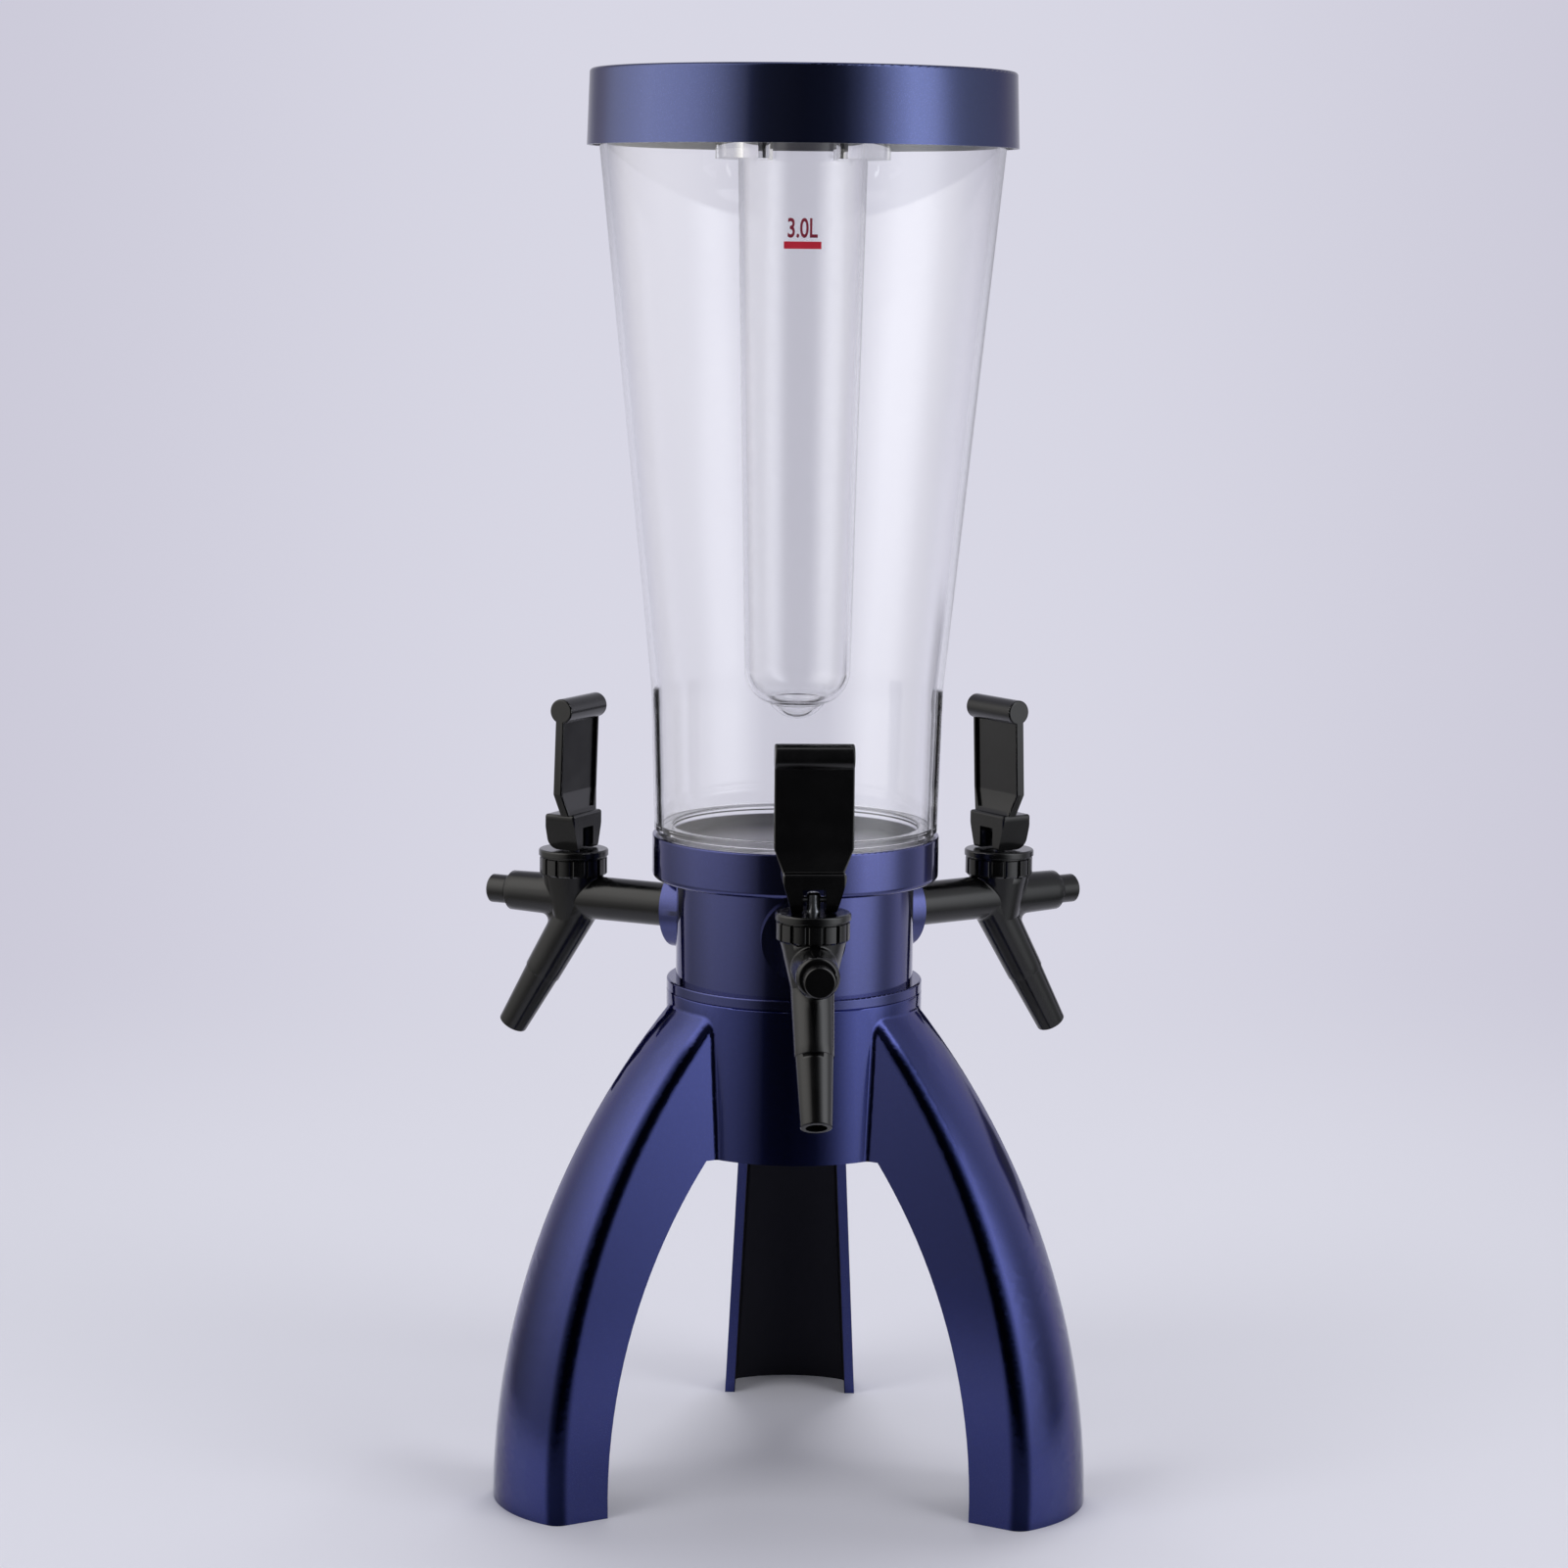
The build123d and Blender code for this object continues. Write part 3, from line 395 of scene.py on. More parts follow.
def satinFinish(values):
    material, board = newFinish("satinBlack")
    cloud = board.noise(values["wornScale"], 4.0)
    inputs = {
        "Base Color": board.blend(cloud.between(*values["wornEdge"]), values["colour"], values["worn"]),
        "Roughness": board.spread(values["roughness"], cloud, values["roughSpread"]),
        "Normal": board.bump(board.noise(values["grainScale"]), values["grain"] * mm),
    }
    setSurface(board, board.add("ShaderNodeBsdfPrincipled", inputs=inputs))
    return material


clear = {
    "colour": (0.992, 0.992, 0.996),
    "cloudy": (0.98, 0.98, 0.988),
    "cloudScale": 14.0,
    "edgeColour": (0.7, 0.71, 0.74),  # painted shade: how the wall darkens where it's seen edge on, for the dark lines along its edges
    "index": 1.49,
    "edgePower": 6.0,
    "haze": 0.003,  # how milky it is
    "milk": (0.9, 0.9, 0.92),
    "shadow": (0.93, 0.93, 0.94),  # the light that each wall lets through to what stands behind it
}
clearTube = dict(clear, colour=(1.0, 1.0, 1.0), cloudy=(0.995, 0.995, 1.0))
clearTube.update(edgeColour=(0.88, 0.88, 0.9), haze=0.0)


def clearFinish(name, values):
    material, board = newFinish(name)
    body = board.blend(board.noise(values["cloudScale"]), values["colour"], values["cloudy"])
    shared = {"Roughness": 0.0, "Transmission Weight": 1.0, "IOR": values["index"]}
    face = board.add("ShaderNodeBsdfPrincipled", inputs={**shared, "Base Color": body})
    edge = board.add("ShaderNodeBsdfPrincipled", inputs={**shared, "Base Color": values["edgeColour"]})
    facing = board.add("ShaderNodeLayerWeight", inputs=[0.5], output="Facing")
    grazing = facing.power(values["edgePower"])
    milk = board.add("ShaderNodeBsdfDiffuse", inputs=[values["milk"]])
    glass = board.mixShaders(values["haze"], board.mixShaders(grazing, face, edge), milk)
    passing = board.add("ShaderNodeBsdfTransparent", inputs=[values["shadow"]])
    shadow = board.add("ShaderNodeLightPath", output="Is Shadow Ray")
    setSurface(board, board.mixShaders(shadow, glass, passing))
    return material


plainFinishes = {  # each with the colours that a noise runs between
    "greyRubber": {"dark": (0.018, 0.018, 0.019), "light": (0.034, 0.034, 0.035), "roughness": 0.7},
    "paleSilicone": {"dark": (0.4, 0.4, 0.41), "light": (0.5, 0.5, 0.51), "roughness": 0.4},
    "whiteNylon": {"dark": (0.58, 0.58, 0.55), "light": (0.7, 0.7, 0.68), "roughness": 0.42},
    "darkRed": {"dark": (0.16, 0.006, 0.022), "light": (0.2, 0.008, 0.028), "roughness": 0.45},
    "brightRed": {"dark": (0.42, 0.006, 0.022), "light": (0.5, 0.008, 0.028), "roughness": 0.4},
}
plainSurface = {"cloudScale": 220.0, "roughSpread": 0.16, "grain": 0.01, "grainScale": 900.0}


def plainFinish(name):
    values = {**plainSurface, **plainFinishes[name]}
    material, board = newFinish(name)
    cloud = board.noise(values["cloudScale"], 3.0)
    inputs = {
        "Base Color": board.blend(cloud, values["dark"], values["light"]),
        "Roughness": board.spread(values["roughness"], cloud, values["roughSpread"]),
        "Normal": board.bump(board.noise(values["grainScale"]), values["grain"] * mm),
    }
    setSurface(board, board.add("ShaderNodeBsdfPrincipled", inputs=inputs))
    return material


steel = {
    "colour": (0.60, 0.62, 0.66),
    "dull": (0.44, 0.46, 0.5),
    "dullScale": 600.0,
    "dullEdge": (0.3, 0.7),
    "roughness": 0.2,
    "roughSpread": 0.15,
}


def steelFinish(values):
    material, board = newFinish("brightSteel")
    cloud = board.noise(values["dullScale"], 3.0)
    inputs = {
        "Base Color": board.blend(cloud.between(*values["dullEdge"]), values["colour"], values["dull"]),
        "Metallic": 1.0,
        "Roughness": board.spread(values["roughness"], cloud, values["roughSpread"]),
    }
    setSurface(board, board.add("ShaderNodeBsdfPrincipled", inputs=inputs))
    return material


finishes = {  # by material slot
    "black_plastic": satinFinish(satinBlack),
    "clear_plastic": clearFinish("clearPlastic", clear),
    "grey_rubber": plainFinish("greyRubber"),
    "white_plastic": plainFinish("whiteNylon"),
    "steel": steelFinish(steel),
}
nodeFinishes = {  # of the nodes that differ from their slot's
    "tripod_stand": standFinish(standPaint, legs),
    "tap_housing": housingFinish(paint, housingInside),
    "tank_gasket": plainFinish("paleSilicone"),
    "lid": lidFinish(lidPaint, lidInside, lidShape),
    "ice_tube": clearFinish("clearTubePlastic", clearTube),
}
print("finishes made")


# helpers for pieces

mergeReach = 0.001  # millimetres within which points are one


def plainName(node):
    first, *rest = node.split("_")
    return first + "".join(word.capitalize() for word in rest)


def finishOf(node):
    return nodeFinishes.get(node, finishes.get(slotOf[node]))


def seatPiece(piece, node):
    piece.data.materials.clear()
    piece.data.materials.append(finishOf(node))
    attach(piece, bodyOf[node])
    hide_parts(node)


def shade(mesh, angle, weight=60):  # smooth, with flat faces kept flat beside their rounded edges
    mesh.shade_smooth()
    mesh.set_sharp_from_angle(angle=radians(angle))
    carrier = addObject("carrier", mesh)
    weights = carrier.modifiers.new("weights", "WEIGHTED_NORMAL")
    weights.keep_sharp = True
    weights.weight = weight
    return meshOf(carrier)


def isTurned(mesh, face, slack=0.04, flat=0.2):  # on a cylinder or cone about the tower's axis
    if face.normal.xy.length < flat:
        return False
    outward = face.normal.xy.length * (1 if face.center.xy.dot(face.normal.xy) > 0 else -1)
    corners = [mesh.vertices[index].co for index in face.vertices]
    offsets = [corner.xy.length * outward + corner.z * face.normal.z for corner in corners]
    return max(offsets) - min(offsets) < slack * mm


def roundOff(mesh, reach):  # turned faces get the normals of a true cylinder or cone
    normals = [corner.vector.copy() for corner in mesh.corner_normals]
    for face in mesh.polygons:
        if face.center.xy.length > reach * mm or not isTurned(mesh, face):
            continue
        side = 1 if face.center.xy.dot(face.normal.xy) > 0 else -1
        for index in face.loop_indices:
            out = mesh.vertices[mesh.loops[index].vertex_index].co.xy
            normals[index].xy = out.normalized() * (side * normals[index].xy.length)
    mesh.normals_split_custom_set([tuple(normal) for normal in normals])


def rounded(corners, steps=5):  # points of a closed outline, from corners as (reach, height, radius)
    points = []
    for number, (x, z, radius) in enumerate(corners):
        corner = Vector((x, z))
        before = (Vector(corners[number - 1][:2]) - corner).normalized()
        after = (Vector(corners[(number + 1) % len(corners)][:2]) - corner).normalized()
        if not radius:
            points.append(corner)
            continue
        half = before.angle(after) / 2
        middle = corner + (before + after).normalized() * (radius / sin(half))
        first = corner + before * (radius / tan(half)) - middle
        turn = first.angle_signed(corner + after * (radius / tan(half)) - middle)
        turns = [-turn * step / steps for step in range(steps + 1)]
        points += [middle + Matrix.Rotation(angle, 2) @ first for angle in turns]
    return points


def newTree(name, sockets):
    tree = bpy.data.node_groups.new(name, "GeometryNodeTree")
    board = Board(tree)
    for label, kind in {"Geometry": "Geometry", **sockets}.items():
        tree.interface.new_socket(label, in_out="INPUT", socket_type="NodeSocket" + kind)
    tree.interface.new_socket("Geometry", in_out="OUTPUT", socket_type="NodeSocketGeometry")
    return tree, board, board.every(board.add("NodeGroupInput"))


def endTree(board, geometry, finish):
    solid = board.add("GeometryNodeRealizeInstances", inputs={"Geometry": geometry})
    coated = board.add("GeometryNodeSetMaterial", inputs={"Geometry": solid, "Material": finish})
    board.add("NodeGroupOutput", inputs=[coated])


def shapeBy(tree, mesh, values):  # the mesh that a tree makes of a mesh
    source = addObject("source", mesh)
    modifier = source.modifiers.new("shape", "NODES")
    modifier.node_group = tree
    for socket in tree.interface.items_tree:
        if socket.in_out == "INPUT" and socket.name in values:
            modifier[socket.identifier] = values[socket.name]
    return meshOf(source)


def outwards(mesh):  # closes the seams and points the faces out
    work = bmesh.new()
    work.from_mesh(mesh)
    bmesh.ops.remove_doubles(work, verts=work.verts, dist=mergeReach * mm)
    bmesh.ops.dissolve_degenerate(work, edges=work.edges, dist=mergeReach / 2 * mm)
    bmesh.ops.recalc_face_normals(work, faces=work.faces)
    work.to_mesh(mesh)
    work.free()
    return mesh


def turningTree():  # turns an outline of points about the upright axis through Centre
    sockets = {"Segments": "Int", "Centre": "Vector", "Finish": "Material"}
    tree, board, given = newTree("turning", sockets)
    outline, segments, centre, finish = given[:4]
    count = board.add("GeometryNodeAttributeDomainSize", inputs=[outline])
    sizes = {"Vertices X": segments + 1, "Vertices Y": count}
    grid = board.add("GeometryNodeMeshGrid", inputs=sizes)
    index = board.add("GeometryNodeInputIndex")
    ring = ((index + 0.5) / count).wholePart()
    place = board.add("GeometryNodeInputPosition")
    sampling = {"Geometry": outline, "Value": place, "Index": index - ring * count}
    point = board.add("GeometryNodeSampleIndex", {"data_type": "FLOAT_VECTOR"}, sampling)
    turn = {"Vector": point, "Angle": ring / segments * (2 * pi)}
    turned = board.add("ShaderNodeVectorRotate", {"rotation_type": "Z_AXIS"}, turn)
    shaped = board.add("GeometryNodeSetPosition", inputs={"Geometry": grid, "Position": turned})
    merging = {"Geometry": shaped, "Distance": 2 * mergeReach * mm}
    joined = board.add("GeometryNodeMergeByDistance", inputs=merging)
    moved = board.add("GeometryNodeTransform", inputs={"Geometry": joined, "Translation": centre})
    endTree(board, moved, finish)
    return tree


turning = turningTree()


def turnedMesh(points, segments, finish, centre=(0.0, 0.0, 0.0)):
    outline = bpy.data.meshes.new("outline")
    outline.from_pydata([(x * mm, 0.0, z * mm) for x, z in points + points[:1]], [], [])
    values = {"Segments": segments, "Centre": centre, "Finish": finish}
    return outwards(shapeBy(turning, outline, values))


# pieces kept in the shape of their nodes

smoothing = {
    "flatAngle": 0.05,  # degrees below which two faces are one
    "sharpAngle": 32,  # degrees above which an edge is sharp
    "sharpAngles": {"tap_housing": 16},  # of single pieces
    "turnedReach": {"tripod_stand": 53.4, "tap_housing": 60.0, "lid": 90.0},  # how far out they go
}
tapNumbers = (1, 2, 3)
springs = [f"tap_{number}_spring" for number in tapNumbers]
shapedLater = ["tank", "ice_tube"] + [f"tap_{number}_bonnet_nut" for number in tapNumbers]


def smoothCopy(node, values):
    mesh = frame["nodes"][node].data.copy()
    work = bmesh.new()
    work.from_mesh(mesh)
    bmesh.ops.remove_doubles(work, verts=work.verts, dist=mergeReach * mm)
    flat = radians(values["flatAngle"])
    bmesh.ops.dissolve_limit(work, angle_limit=flat, verts=work.verts, edges=work.edges)
    work.to_mesh(mesh)
    work.free()
    mesh = shade(mesh, values["sharpAngles"].get(node, values["sharpAngle"]))
    if node in values["turnedReach"]:
        roundOff(mesh, values["turnedReach"][node])
    piece = addObject(plainName(node), mesh)
    seatPiece(piece, node)
    return piece


def squeezeSpring(number):
    piece = smoothCopy(f"tap_{number}_spring", smoothing)
    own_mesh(piece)


for node in frame["nodes"]:
    if node not in shapedLater + springs:
        smoothCopy(node, smoothing)
for number in tapNumbers:
    squeezeSpring(number)
print("pieces seated")


# tank

tankShape = {
    "segments": 160,
    "footRadius": 56.4,
    "footBore": 50.6,
    "bottom": 256.1,
    "step": 271.1,
    "shelf": 273.5,
    "baseRadius": 58.4,
    "waistRadius": 60.0,
    "waistHeight": 330.5,
    "waistRound": 90.0,
    "mouthRadius": 82.1,
    "mouthHeight": 549.5,
    "bead": 1.3,
    "beadHeight": 4.0,
    "rim": 575.8,
    "wall": 2.8,
    "edge": 0.5,
    "footEdge": 0.8,
    "sharpAngle": 40,
}


def makeTank(s):
    wall, edge, beadBottom = s["wall"], s["edge"], s["rim"] - s["beadHeight"]
    points = rounded([
        (s["footRadius"], s["bottom"], edge),
        (s["footRadius"], s["step"], edge),
        (s["baseRadius"], s["step"], edge),
        (s["waistRadius"], s["waistHeight"], s["waistRound"]),
        (s["mouthRadius"], s["mouthHeight"], 0),
        (s["mouthRadius"], beadBottom, edge),
        (s["mouthRadius"] + s["bead"], beadBottom, edge),
        (s["mouthRadius"] + s["bead"], s["rim"], edge),
        (s["mouthRadius"] - wall, s["rim"], edge),
        (s["mouthRadius"] - wall, s["mouthHeight"], 0),
        (s["waistRadius"] - wall, s["waistHeight"], s["waistRound"]),
        (s["baseRadius"] - wall, s["shelf"], edge),
        (s["footBore"], s["shelf"], s["footEdge"]),
        (s["footBore"], s["bottom"], s["footEdge"]),
    ])
    mesh = turnedMesh(points, s["segments"], finishOf("tank"))
    seatPiece(addObject("tank", shade(mesh, s["sharpAngle"])), "tank")


makeTank(tankShape)
print("tank turned")


# chilling tube

tubeShape = {
    "segments": 120,
    "wall": 1.8,
    "top": 560.0,
    "topRadius": 26.5,
    "bendRadius": 21.7,  # of the straight wall where it turns inwards
    "bendHeight": 337.0,
    "turn": 13.85,
    "cupRadius": 11.4,
    "cupDepth": 6.2,
    "earRadius": 35.4,
    "earBottom": 544.0,
    "earSpan": 120.0,
    "tabRadius": 38.0,
    "tabBottom": 555.5,
    "tabTop": 558.3,
    "tabSpan": 50.0,
    "sharpAngle": 40,
}


def tubeBottom(s, inset, steps=14):  # from the axis out and up to the straight wall
    bend, cup = s["turn"] - inset, s["cupRadius"] - inset
    centre = s["bendRadius"] - s["turn"]
    bottom = s["bendHeight"] - s["turn"] - s["cupDepth"] + inset
    edge = s["bendHeight"] - sqrt(bend**2 - (cup - centre) ** 2)
    sphere = (cup**2 + (edge - bottom) ** 2) / (2 * (edge - bottom))
    points = []
    for step in range(steps):
        reach = cup * step / steps
        points.append((reach, bottom + sphere - sqrt(sphere**2 - reach**2)))
    start = acos((s["bendHeight"] - edge) / bend)
    for step in range(steps + 1):
        angle = start + (pi / 2 - start) * step / steps
        points.append((centre + bend * sin(angle), s["bendHeight"] - bend * cos(angle)))
    return points


def makeIceTube(s):
    slope = (s["topRadius"] - s["bendRadius"]) / (s["top"] - s["bendHeight"])

    def outline(ear, tab):
        def out(z, reach=None):
            return (reach or s["bendRadius"] + (z - s["bendHeight"]) * slope, z)

        earReach = s["earRadius"] if ear else None
        tabReach = s["tabRadius"] if tab else earReach
        low, middle, high = s["earBottom"], s["tabBottom"], s["tabTop"]
        outer = tubeBottom(s, 0) + [
            out(low), out(low, earReach), out(middle, earReach), out(middle, tabReach),
            out(high, tabReach), out(high), out(s["top"]),
        ]
        inner = [(s["topRadius"] - s["wall"], s["top"])] + tubeBottom(s, s["wall"])[::-1]
        return outer + inner

    plain, ear, tab = outline(False, False), outline(True, False), outline(True, True)
    edges = []
    for middle in (0.0, 180.0):
        for span, before, after in ((s["earSpan"], plain, ear), (s["tabSpan"], ear, tab)):
            edges += [(middle - span / 2, before, after), (middle + span / 2, after, before)]
    edges = [(angle % 360, before, after) for angle, before, after in edges]
    edges.sort(key=lambda edge: edge[0])
    rings = []
    for (angle, before, after), (nextAngle, *rest) in zip(edges, edges[1:] + [(edges[0][0] + 360,)]):
        count = max(1, round((nextAngle - angle) * s["segments"] / 360))
        rings.append((angle, before))
        rings += [(angle + (nextAngle - angle) * step / count, after) for step in range(count)]
    work = bmesh.new()
    rows = []
    for angle, points in rings:
        a = radians(angle)
        rows.append([work.verts.new((x * cos(a) * mm, x * sin(a) * mm, z * mm)) for x, z in points])
    for row, following in zip(rows, rows[1:] + rows[:1]):
        for low in range(len(row) - 1):
            work.faces.new((row[low], row[low + 1], following[low + 1], following[low]))
    mesh = bpy.data.meshes.new("iceTube")
    work.to_mesh(mesh)
    work.free()
    seatPiece(addObject("iceTube", shade(outwards(mesh), s["sharpAngle"])), "ice_tube")


makeIceTube(tubeShape)
print("chilling tube shaped")


# bonnet nuts: a turned core with a rim, and pads round it

nutShape = {
    "segments": 96,
    "reach": 105.0,  # tower's axis to the valve's
    "turn": 3.9,  # degrees that the taps stand off square
    "bottom": 243.5,
    "top": 254.5,
    "bore": 3.0,
    "coreRadius": 13.3,
    "rimRadius": 14.8,
    "rimHeight": 2.9,
    "rimRound": 0.9,
    "rimLowRound": 0.36,
    "coreRound": 0.3,
    "recess": 0.7,  # between pads and rim
    "pads": 14,
    "padRadius": 14.35,
    "padWidth": 5.1,
    "padDrop": 0.5,  # below the core
    "padRoot": 1.0,  # inside the core
    "padChamfer": 0.7,
    "padRound": 0.3,
    "padTip": 0.05,
    "sharpAngle": 32,
}


def padMesh(s):  # one pad, with its lower edge drawn in and its sides rounded
    top, side, tip = s["top"] - s["rimHeight"] - s["recess"], s["padRound"], s["padTip"]
    low, chamfer = s["bottom"], s["padChamfer"]
    half, inner = s["padWidth"] / 2, s["coreRadius"] - s["padRoot"]
    work = bmesh.new()
    rows = []
    for z, draw in ((low, chamfer), (low + chamfer, 0.0), (top - side, 0.0), (top, side)):
        reach = s["padRadius"] - draw
        plan = [(inner, -half), (reach - side, -half), (reach - tip, -half + side)]
        plan += [(sqrt(reach**2 - y * y), y) for y in (-half / 2, 0.0, half / 2)]
        plan += [(reach - tip, half - side), (reach - side, half), (inner, half)]
        drop = {y: reach - sqrt(reach**2 - y * y) for x, y in plan}
        plan = [(x if abs(y) < half - side else x - drop[y], y) for x, y in plan]
        plan[0], plan[-1] = (inner, -half), (inner, half)
        rows.append([work.verts.new((x * mm, y * mm, z * mm)) for x, y in plan])
    for row, following in zip(rows, rows[1:]):
        for number in range(len(row)):
            after = (number + 1) % len(row)
            work.faces.new((row[number], row[after], following[after], following[number]))
    work.faces.new(rows[0])
    work.faces.new(rows[-1])
    bmesh.ops.recalc_face_normals(work, faces=work.faces)
    mesh = bpy.data.meshes.new("pad")
    work.to_mesh(mesh)
    work.free()
    return mesh


def padRingTree():  # the given pad, repeated round the upright axis through Centre
    sockets = {"Pads": "Int", "Centre": "Vector", "Turn": "Float", "Finish": "Material"}
    tree, board, given = newTree("padRing", sockets)
    pad, pads, centre, turn, finish = given[:5]
    spots = board.add("GeometryNodePoints", inputs={"Count": pads, "Position": centre})
    angle = board.add("GeometryNodeInputIndex") / pads * (2 * pi) + turn
    rotation = board.add("ShaderNodeCombineXYZ", inputs={"Z": angle})
    placing = {"Points": spots, "Instance": pad, "Rotation": rotation}
    endTree(board, board.add("GeometryNodeInstanceOnPoints", inputs=placing), finish)
    return tree


def joinedMesh(name, meshes):
    work = bmesh.new()
    for mesh in meshes:
        work.from_mesh(mesh)
    joined = bpy.data.meshes.new(name)
    work.to_mesh(joined)
    work.free()
    return joined


def makeBonnetNuts(s):
    coreBottom, rimBottom = s["bottom"] + s["padDrop"], s["top"] - s["rimHeight"]
    core = rounded([
        (s["bore"], coreBottom, 0),
        (s["coreRadius"], coreBottom, s["coreRound"]),
        (s["coreRadius"], rimBottom, 0),
        (s["rimRadius"], rimBottom, s["rimLowRound"]),
        (s["rimRadius"], s["top"], s["rimRound"]),
        (s["bore"], s["top"], 0),
    ])
    pad, ringTree = padMesh(s), padRingTree()
    for number in tapNumbers:
        node = f"tap_{number}_bonnet_nut"
        angle = radians(s["turn"] - 90 + 360 / len(tapNumbers) * (number - 1))
        centre = (s["reach"] * mm * cos(angle), s["reach"] * mm * sin(angle), 0.0)
        values = {"Pads": s["pads"], "Centre": centre, "Turn": angle, "Finish": finishOf(node)}
        pads = shapeBy(ringTree, pad, values)
        body = turnedMesh(core, s["segments"], finishOf(node), centre)
        mesh = joinedMesh(plainName(node), [body, pads])
        seatPiece(addObject(plainName(node), shade(mesh, s["sharpAngle"])), node)


makeBonnetNuts(nutShape)
print("bonnet nuts made")


# level mark on the front of the tank

levelMark = {
    "text": "3.0L",
    "textBottom": 512.8,
    "textHeight": 7.6,
    "textWidth": 11.6,
    "middle": 0.2,  # to the right of the tower's middle
    "barHeight": 2.8,
    "barMiddle": 510.0,
    "barWidth": 14.5,
    "boldness": 0.018,
    "thickness": 0.12,
    "lift": 0.02,  # off the tank's wall, so that the two faces don't touch
    "cutStep": 0.6,
}


def flatText(s):
    data = bpy.data.curves.new("mark", "FONT")
    data.body = s["text"]
    data.offset = s["boldness"]
    mesh = meshOf(addObject("mark", data))
    xs, ys = [v.co.x for v in mesh.vertices], [v.co.y for v in mesh.vertices]
    for vertex in mesh.vertices:
        x = (vertex.co.x - min(xs)) / (max(xs) - min(xs)) - 0.5
        y = (vertex.co.y - min(ys)) / (max(ys) - min(ys))
        vertex.co = (s["middle"] + x * s["textWidth"], s["textBottom"] + y * s["textHeight"], 0.0)
    return mesh


def flatBar(s):
    mesh = bpy.data.meshes.new("bar")
    half, low = s["barWidth"] / 2, s["barMiddle"] - s["barHeight"] / 2
    high = low + s["barHeight"]
    left, right = s["middle"] - half, s["middle"] + half
    corners = [(left, low, 0.0), (right, low, 0.0), (right, high, 0.0), (left, high, 0.0)]
    mesh.from_pydata(corners, [], [(0, 1, 2, 3)])
    return mesh


def onTank(mesh, s, tank):  # cut into narrow strips, thickened and bent round the tank's wall
    slope = (tank["mouthRadius"] - tank["waistRadius"]) / (tank["mouthHeight"] - tank["waistHeight"])
    work = bmesh.new()
    work.from_mesh(mesh)
    x = -s["barWidth"]
    while x < s["barWidth"]:
        parts = work.verts[:] + work.edges[:] + work.faces[:]
        cut = {"plane_co": (x, 0, 0), "plane_no": (1, 0, 0), "dist": mergeReach}
        bmesh.ops.bisect_plane(work, geom=parts, **cut)
        x += s["cutStep"]
    bmesh.ops.remove_doubles(work, verts=work.verts, dist=mergeReach)
    grown = bmesh.ops.extrude_face_region(work, geom=work.faces[:])["geom"]
    for vertex in grown:
        if isinstance(vertex, bmesh.types.BMVert):
            vertex.co.z = s["thickness"]
    for vertex in work.verts:
        across, height, out = vertex.co
        reach = tank["waistRadius"] + (height - tank["waistHeight"]) * slope + s["lift"] + out
        angle = across / reach
        vertex.co = (reach * sin(angle) * mm, -reach * cos(angle) * mm, height * mm)
    bmesh.ops.recalc_face_normals(work, faces=work.faces)
    work.to_mesh(mesh)
    work.free()
    return mesh


def makeLevelMark(s, tank):
    parts = {"levelNumber": (flatText(s), "darkRed"), "levelBar": (flatBar(s), "brightRed")}
    for name, (mesh, finish) in parts.items():
        piece = addObject(name, onTank(mesh, s, tank))
        piece.data.materials.clear()
        piece.data.materials.append(plainFinish(finish))
        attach(piece, "tank")


makeLevelMark(levelMark, tankShape)
print("level mark made")


# floor, surroundings and lamps

stage = {
    "floorSize": 12.0,
    "nearFloor": 0.45,  # metres from the axis, where the lit floor starts to give way to the backdrop
    "farFloor": 1.3,
    "mirrored": (0.2, 0.5),  # metres from the axis over which mirrors stop seeing the floor
    "floorColour": (0.76, 0.76, 0.83),
    "backdrop": (0.685, 0.68, 0.778),
    # painted shade: the backdrop darker towards the sides
    "backdropSides": (0.6, 0.588, 0.69),
    "sideways": (0.04, 0.24),  # where the painted shade of the sides begins and ends, as a share of the distance
}


def backdropColour(board, across, away, values):
    sides = abs(across / away).between(*values["sideways"])
    return board.blend(sides, values["backdrop"], values["backdropSides"])


def floorFinish(values):
    material, board = newFinish("paleFloor")
    x, y = board.split(board.coordinates())[:2]
    reach = (x * x + y * y).root()
    lit = board.add("ShaderNodeBsdfDiffuse", inputs=[values["floorColour"]])
    distance = y - viewpoint["place"][1]
    glow = board.add("ShaderNodeEmission", inputs=[backdropColour(board, x, distance, values), 1.0])
    share = reach.between(values["nearFloor"], values["farFloor"])
    seen = board.mixShaders(share, lit, glow)
    reflections = board.add("ShaderNodeLightPath", output="Glossy Depth")
    away = board.add("ShaderNodeBsdfTransparent")
    gone = (reflections > 0.5) * reach.between(*values["mirrored"])
    setSurface(board, board.mixShaders(gone, seen, away))
    return material


def makeFloor(values):
    half = values["floorSize"] / 2
    mesh = bpy.data.meshes.new("floor")
    corners = [(-half, -half, 0), (half, -half, 0), (half, half, 0), (-half, half, 0)]
    mesh.from_pydata(corners, [], [(0, 1, 2, 3)])
    mesh.materials.append(floorFinish(values))
    floor = addObject("floor", mesh)


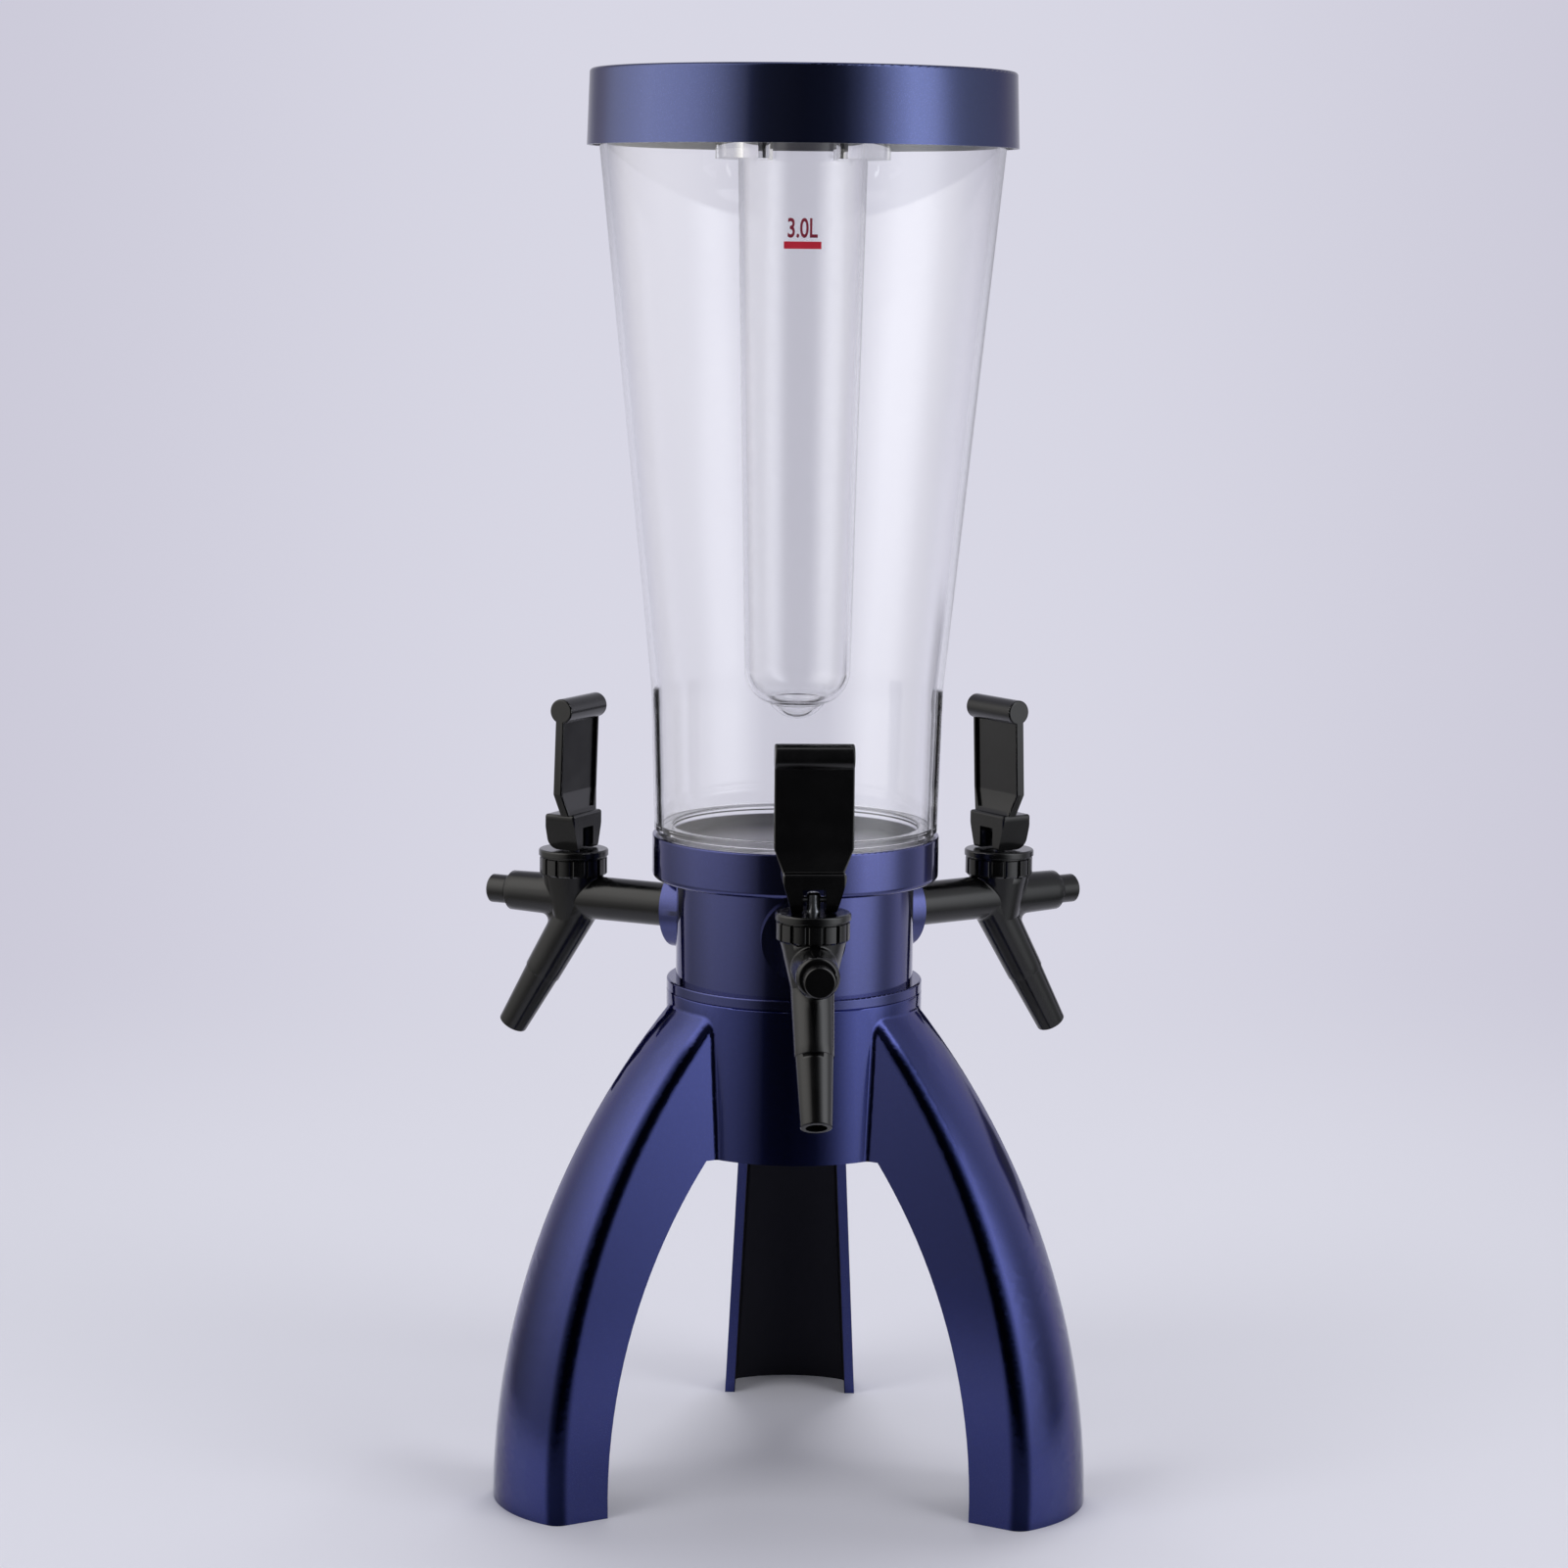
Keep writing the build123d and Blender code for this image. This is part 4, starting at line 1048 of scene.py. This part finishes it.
softBoxes = {  # what glossy pieces mirror, on a round wall about the tower that only they see
    "radius": 0.6,
    "sides": 96,
    "low": -0.6,
    "high": 2.6,
    "fade": (0.95, 2.4),  # heights over which the boxes end at the top
    "dusk": (0.4, 0.62, 0.4),  # heights over which the backdrop behind darkens, and by how much
    "farTurns": (50, 75),  # bearings over which a far edge starts to shift
    "left": {
        "tint": (1.02, 1.0, 0.97),
        "levels": [  # by bearing from the front, in degrees
            (0, 0.04), (20, 0.07), (26, 0.13), (29, 0.42), (32, 0.56), (41, 1.1), (50, 1.5),
            (61, 1.8), (72, 1.92), (84, 1.95), (97, 1.6), (113, 1.2), (135, 0.7), (180, 0.68),
        ],
        "lowShare": 0.2,  # how much of the level is left near the floor
        "rise": (-0.06, 0.62),
        "behind": (112, 142),
        "farEdge": (0.42, 0.6, 0.0),  # heights over which it comes forward, and by how many degrees
    },
    "right": {
        "tint": (0.97, 0.99, 1.03),
        "levels": [
            (0, 0.04), (11, 0.05), (20, 0.09), (28, 0.31), (37, 0.83), (47, 1.77), (56, 2.5),
            (67, 2.4), (75, 2.1), (82, 1.5), (87, 1.0), (92, 0.75), (99, 0.6), (108, 0.55), (180, 0.68),
        ],
        "lowShare": 0.25,
        "rise": (-0.15, 0.44),
        "behind": (92, 122),
        "farEdge": (0.42, 0.6, 8.0),
        "shade": {  # a dim patch low behind the tower, with the ends of its soft edges
            "turns": (119, 124, 136, 141),
            "heights": (0.13, 0.16, 0.25, 0.29),
            "loss": 0.82,
        },
    },
}


def boxOn(board, turn, height, values, whole, backdrop):
    start, end, shift = values["farEdge"]
    further = height.between(start, end) * turn.between(*whole["farTurns"]) * shift
    brightest = max(level for bearing, level in values["levels"])
    stops = [(bearing / 180, level / brightest) for bearing, level in values["levels"]]
    ramp = board.add("ShaderNodeValToRGB", {"stops": stops}, [(turn + further) / 180.0])
    share = values["lowShare"] + height.between(*values["rise"]) * (1 - values["lowShare"])
    level = ramp * share * (1 - height.between(*whole["fade"])) * brightest
    box = board.add("ShaderNodeEmission", inputs=[values["tint"], level])
    start, end, loss = whole["dusk"]
    glow = 1 - height.between(start, end) * loss
    if "shade" in values:
        turns, heights = values["shade"]["turns"], values["shade"]["heights"]
        patch = turn.between(*turns[:2]) * (1 - turn.between(*turns[2:]))
        patch = patch * height.between(*heights[:2]) * (1 - height.between(*heights[2:]))
        glow = glow * (1 - patch * values["shade"]["loss"])
    pale = board.add("ShaderNodeEmission", inputs=[backdrop, glow])
    return board.mixShaders(turn.between(*values["behind"]), box, pale)


def wallFinish(values, backdrop):
    material, board = newFinish("softBoxWall")
    x, y, z = board.split(board.coordinates())
    turn = board.add("ShaderNodeMath", {"operation": "ARCTAN2"}, [x, 0 - y]) * (180 / pi)
    left = boxOn(board, abs(turn), z, values["left"], values, backdrop)
    right = boxOn(board, abs(turn), z, values["right"], values, backdrop)
    mirrored = board.add("ShaderNodeLightPath", output="Glossy Depth") > 0.5
    away = board.add("ShaderNodeBsdfTransparent")
    setSurface(board, board.mixShaders(mirrored, away, board.mixShaders(turn > 0.0, left, right)))
    return material


def makeWall(values, backdrop):
    sides = values["sides"]
    mesh = bpy.data.meshes.new("softBoxWall")
    turns = [2 * pi * side / sides for side in range(sides)]
    ring = [(values["radius"] * cos(turn), values["radius"] * sin(turn)) for turn in turns]
    corners = [(x, y, height) for height in (values["low"], values["high"]) for x, y in ring]
    pairs = [((side + 1) % sides, side) for side in range(sides)]
    faces = [(after, side, side + sides, after + sides) for after, side in pairs]
    mesh.from_pydata(corners, [], faces)
    mesh.materials.append(wallFinish(values, backdrop))
    wall = addObject("softBoxWall", mesh)
    wall.visible_camera = False
    wall.visible_diffuse = False
    wall.visible_shadow = False


room = {
    "dark": 0.02,
    "overhead": 0.9,
    "overheadFrom": (0.55, 0.95),  # how far up the light from above begins and is full
    "mirrorTint": (1.0, 1.0, 1.03),
    "ambient": (0.4, 0.4, 0.43),
}


def makeWorld(values, behind):
    world = bpy.data.worlds.new("studio")
    world.use_nodes = True
    bpy.context.scene.world = world
    board = Board(world.node_tree)
    x, y, z = board.split(board.add("ShaderNodeTexCoord", output="Generated"))
    level = z.between(*values["overheadFrom"]) * values["overhead"] + values["dark"]
    mirrored = board.add("ShaderNodeBackground", inputs=[values["mirrorTint"], level])
    soft = board.add("ShaderNodeBackground", inputs=[values["ambient"], 1.0])
    pale = board.add("ShaderNodeBackground", inputs=[backdropColour(board, x, y, behind), 1.0])
    camera = board.add("ShaderNodeLightPath", output="Is Camera Ray")
    direct = camera.high(board.add("ShaderNodeLightPath", output="Is Transmission Ray"))
    reflections = board.add("ShaderNodeLightPath", output="Glossy Depth")
    lit = board.mixShaders(direct, soft, pale)
    seen = board.mixShaders(reflections > 0.5, lit, mirrored)
    board.add("ShaderNodeOutputWorld", inputs={"Surface": seen})


lamps = {
    "left": {"place": (-1.9, -1.5, 1.7), "size": 1.6, "power": 20.0},
    "right": {"place": (2.0, -1.4, 1.6), "size": 1.6, "power": 20.0},
    "top": {"place": (0.1, 1.1, 2.5), "size": 1.2, "power": 25.0},
}
lampAim = (0.0, 0.0, 0.3)


def makeLamps(places, aimedAt):
    for name, values in places.items():
        data = bpy.data.lights.new(name, "AREA")
        data.energy = values["power"]
        data.size = values["size"]
        lamp = addObject(name, data)
        place = Vector(values["place"])
        turned = (Vector(aimedAt) - place).to_track_quat("-Z", "Y").to_matrix().to_4x4()
        lamp.matrix_world = Matrix.Translation(place) @ turned
        lamp.visible_camera = False
        lamp.visible_glossy = False
        lamp.visible_transmission = False


makeFloor(stage)
makeWall(softBoxes, stage["backdrop"])
makeWorld(room, stage)
makeLamps(lamps, lampAim)
bpy.context.scene.view_settings.view_transform = "Standard"
print("stage lit")
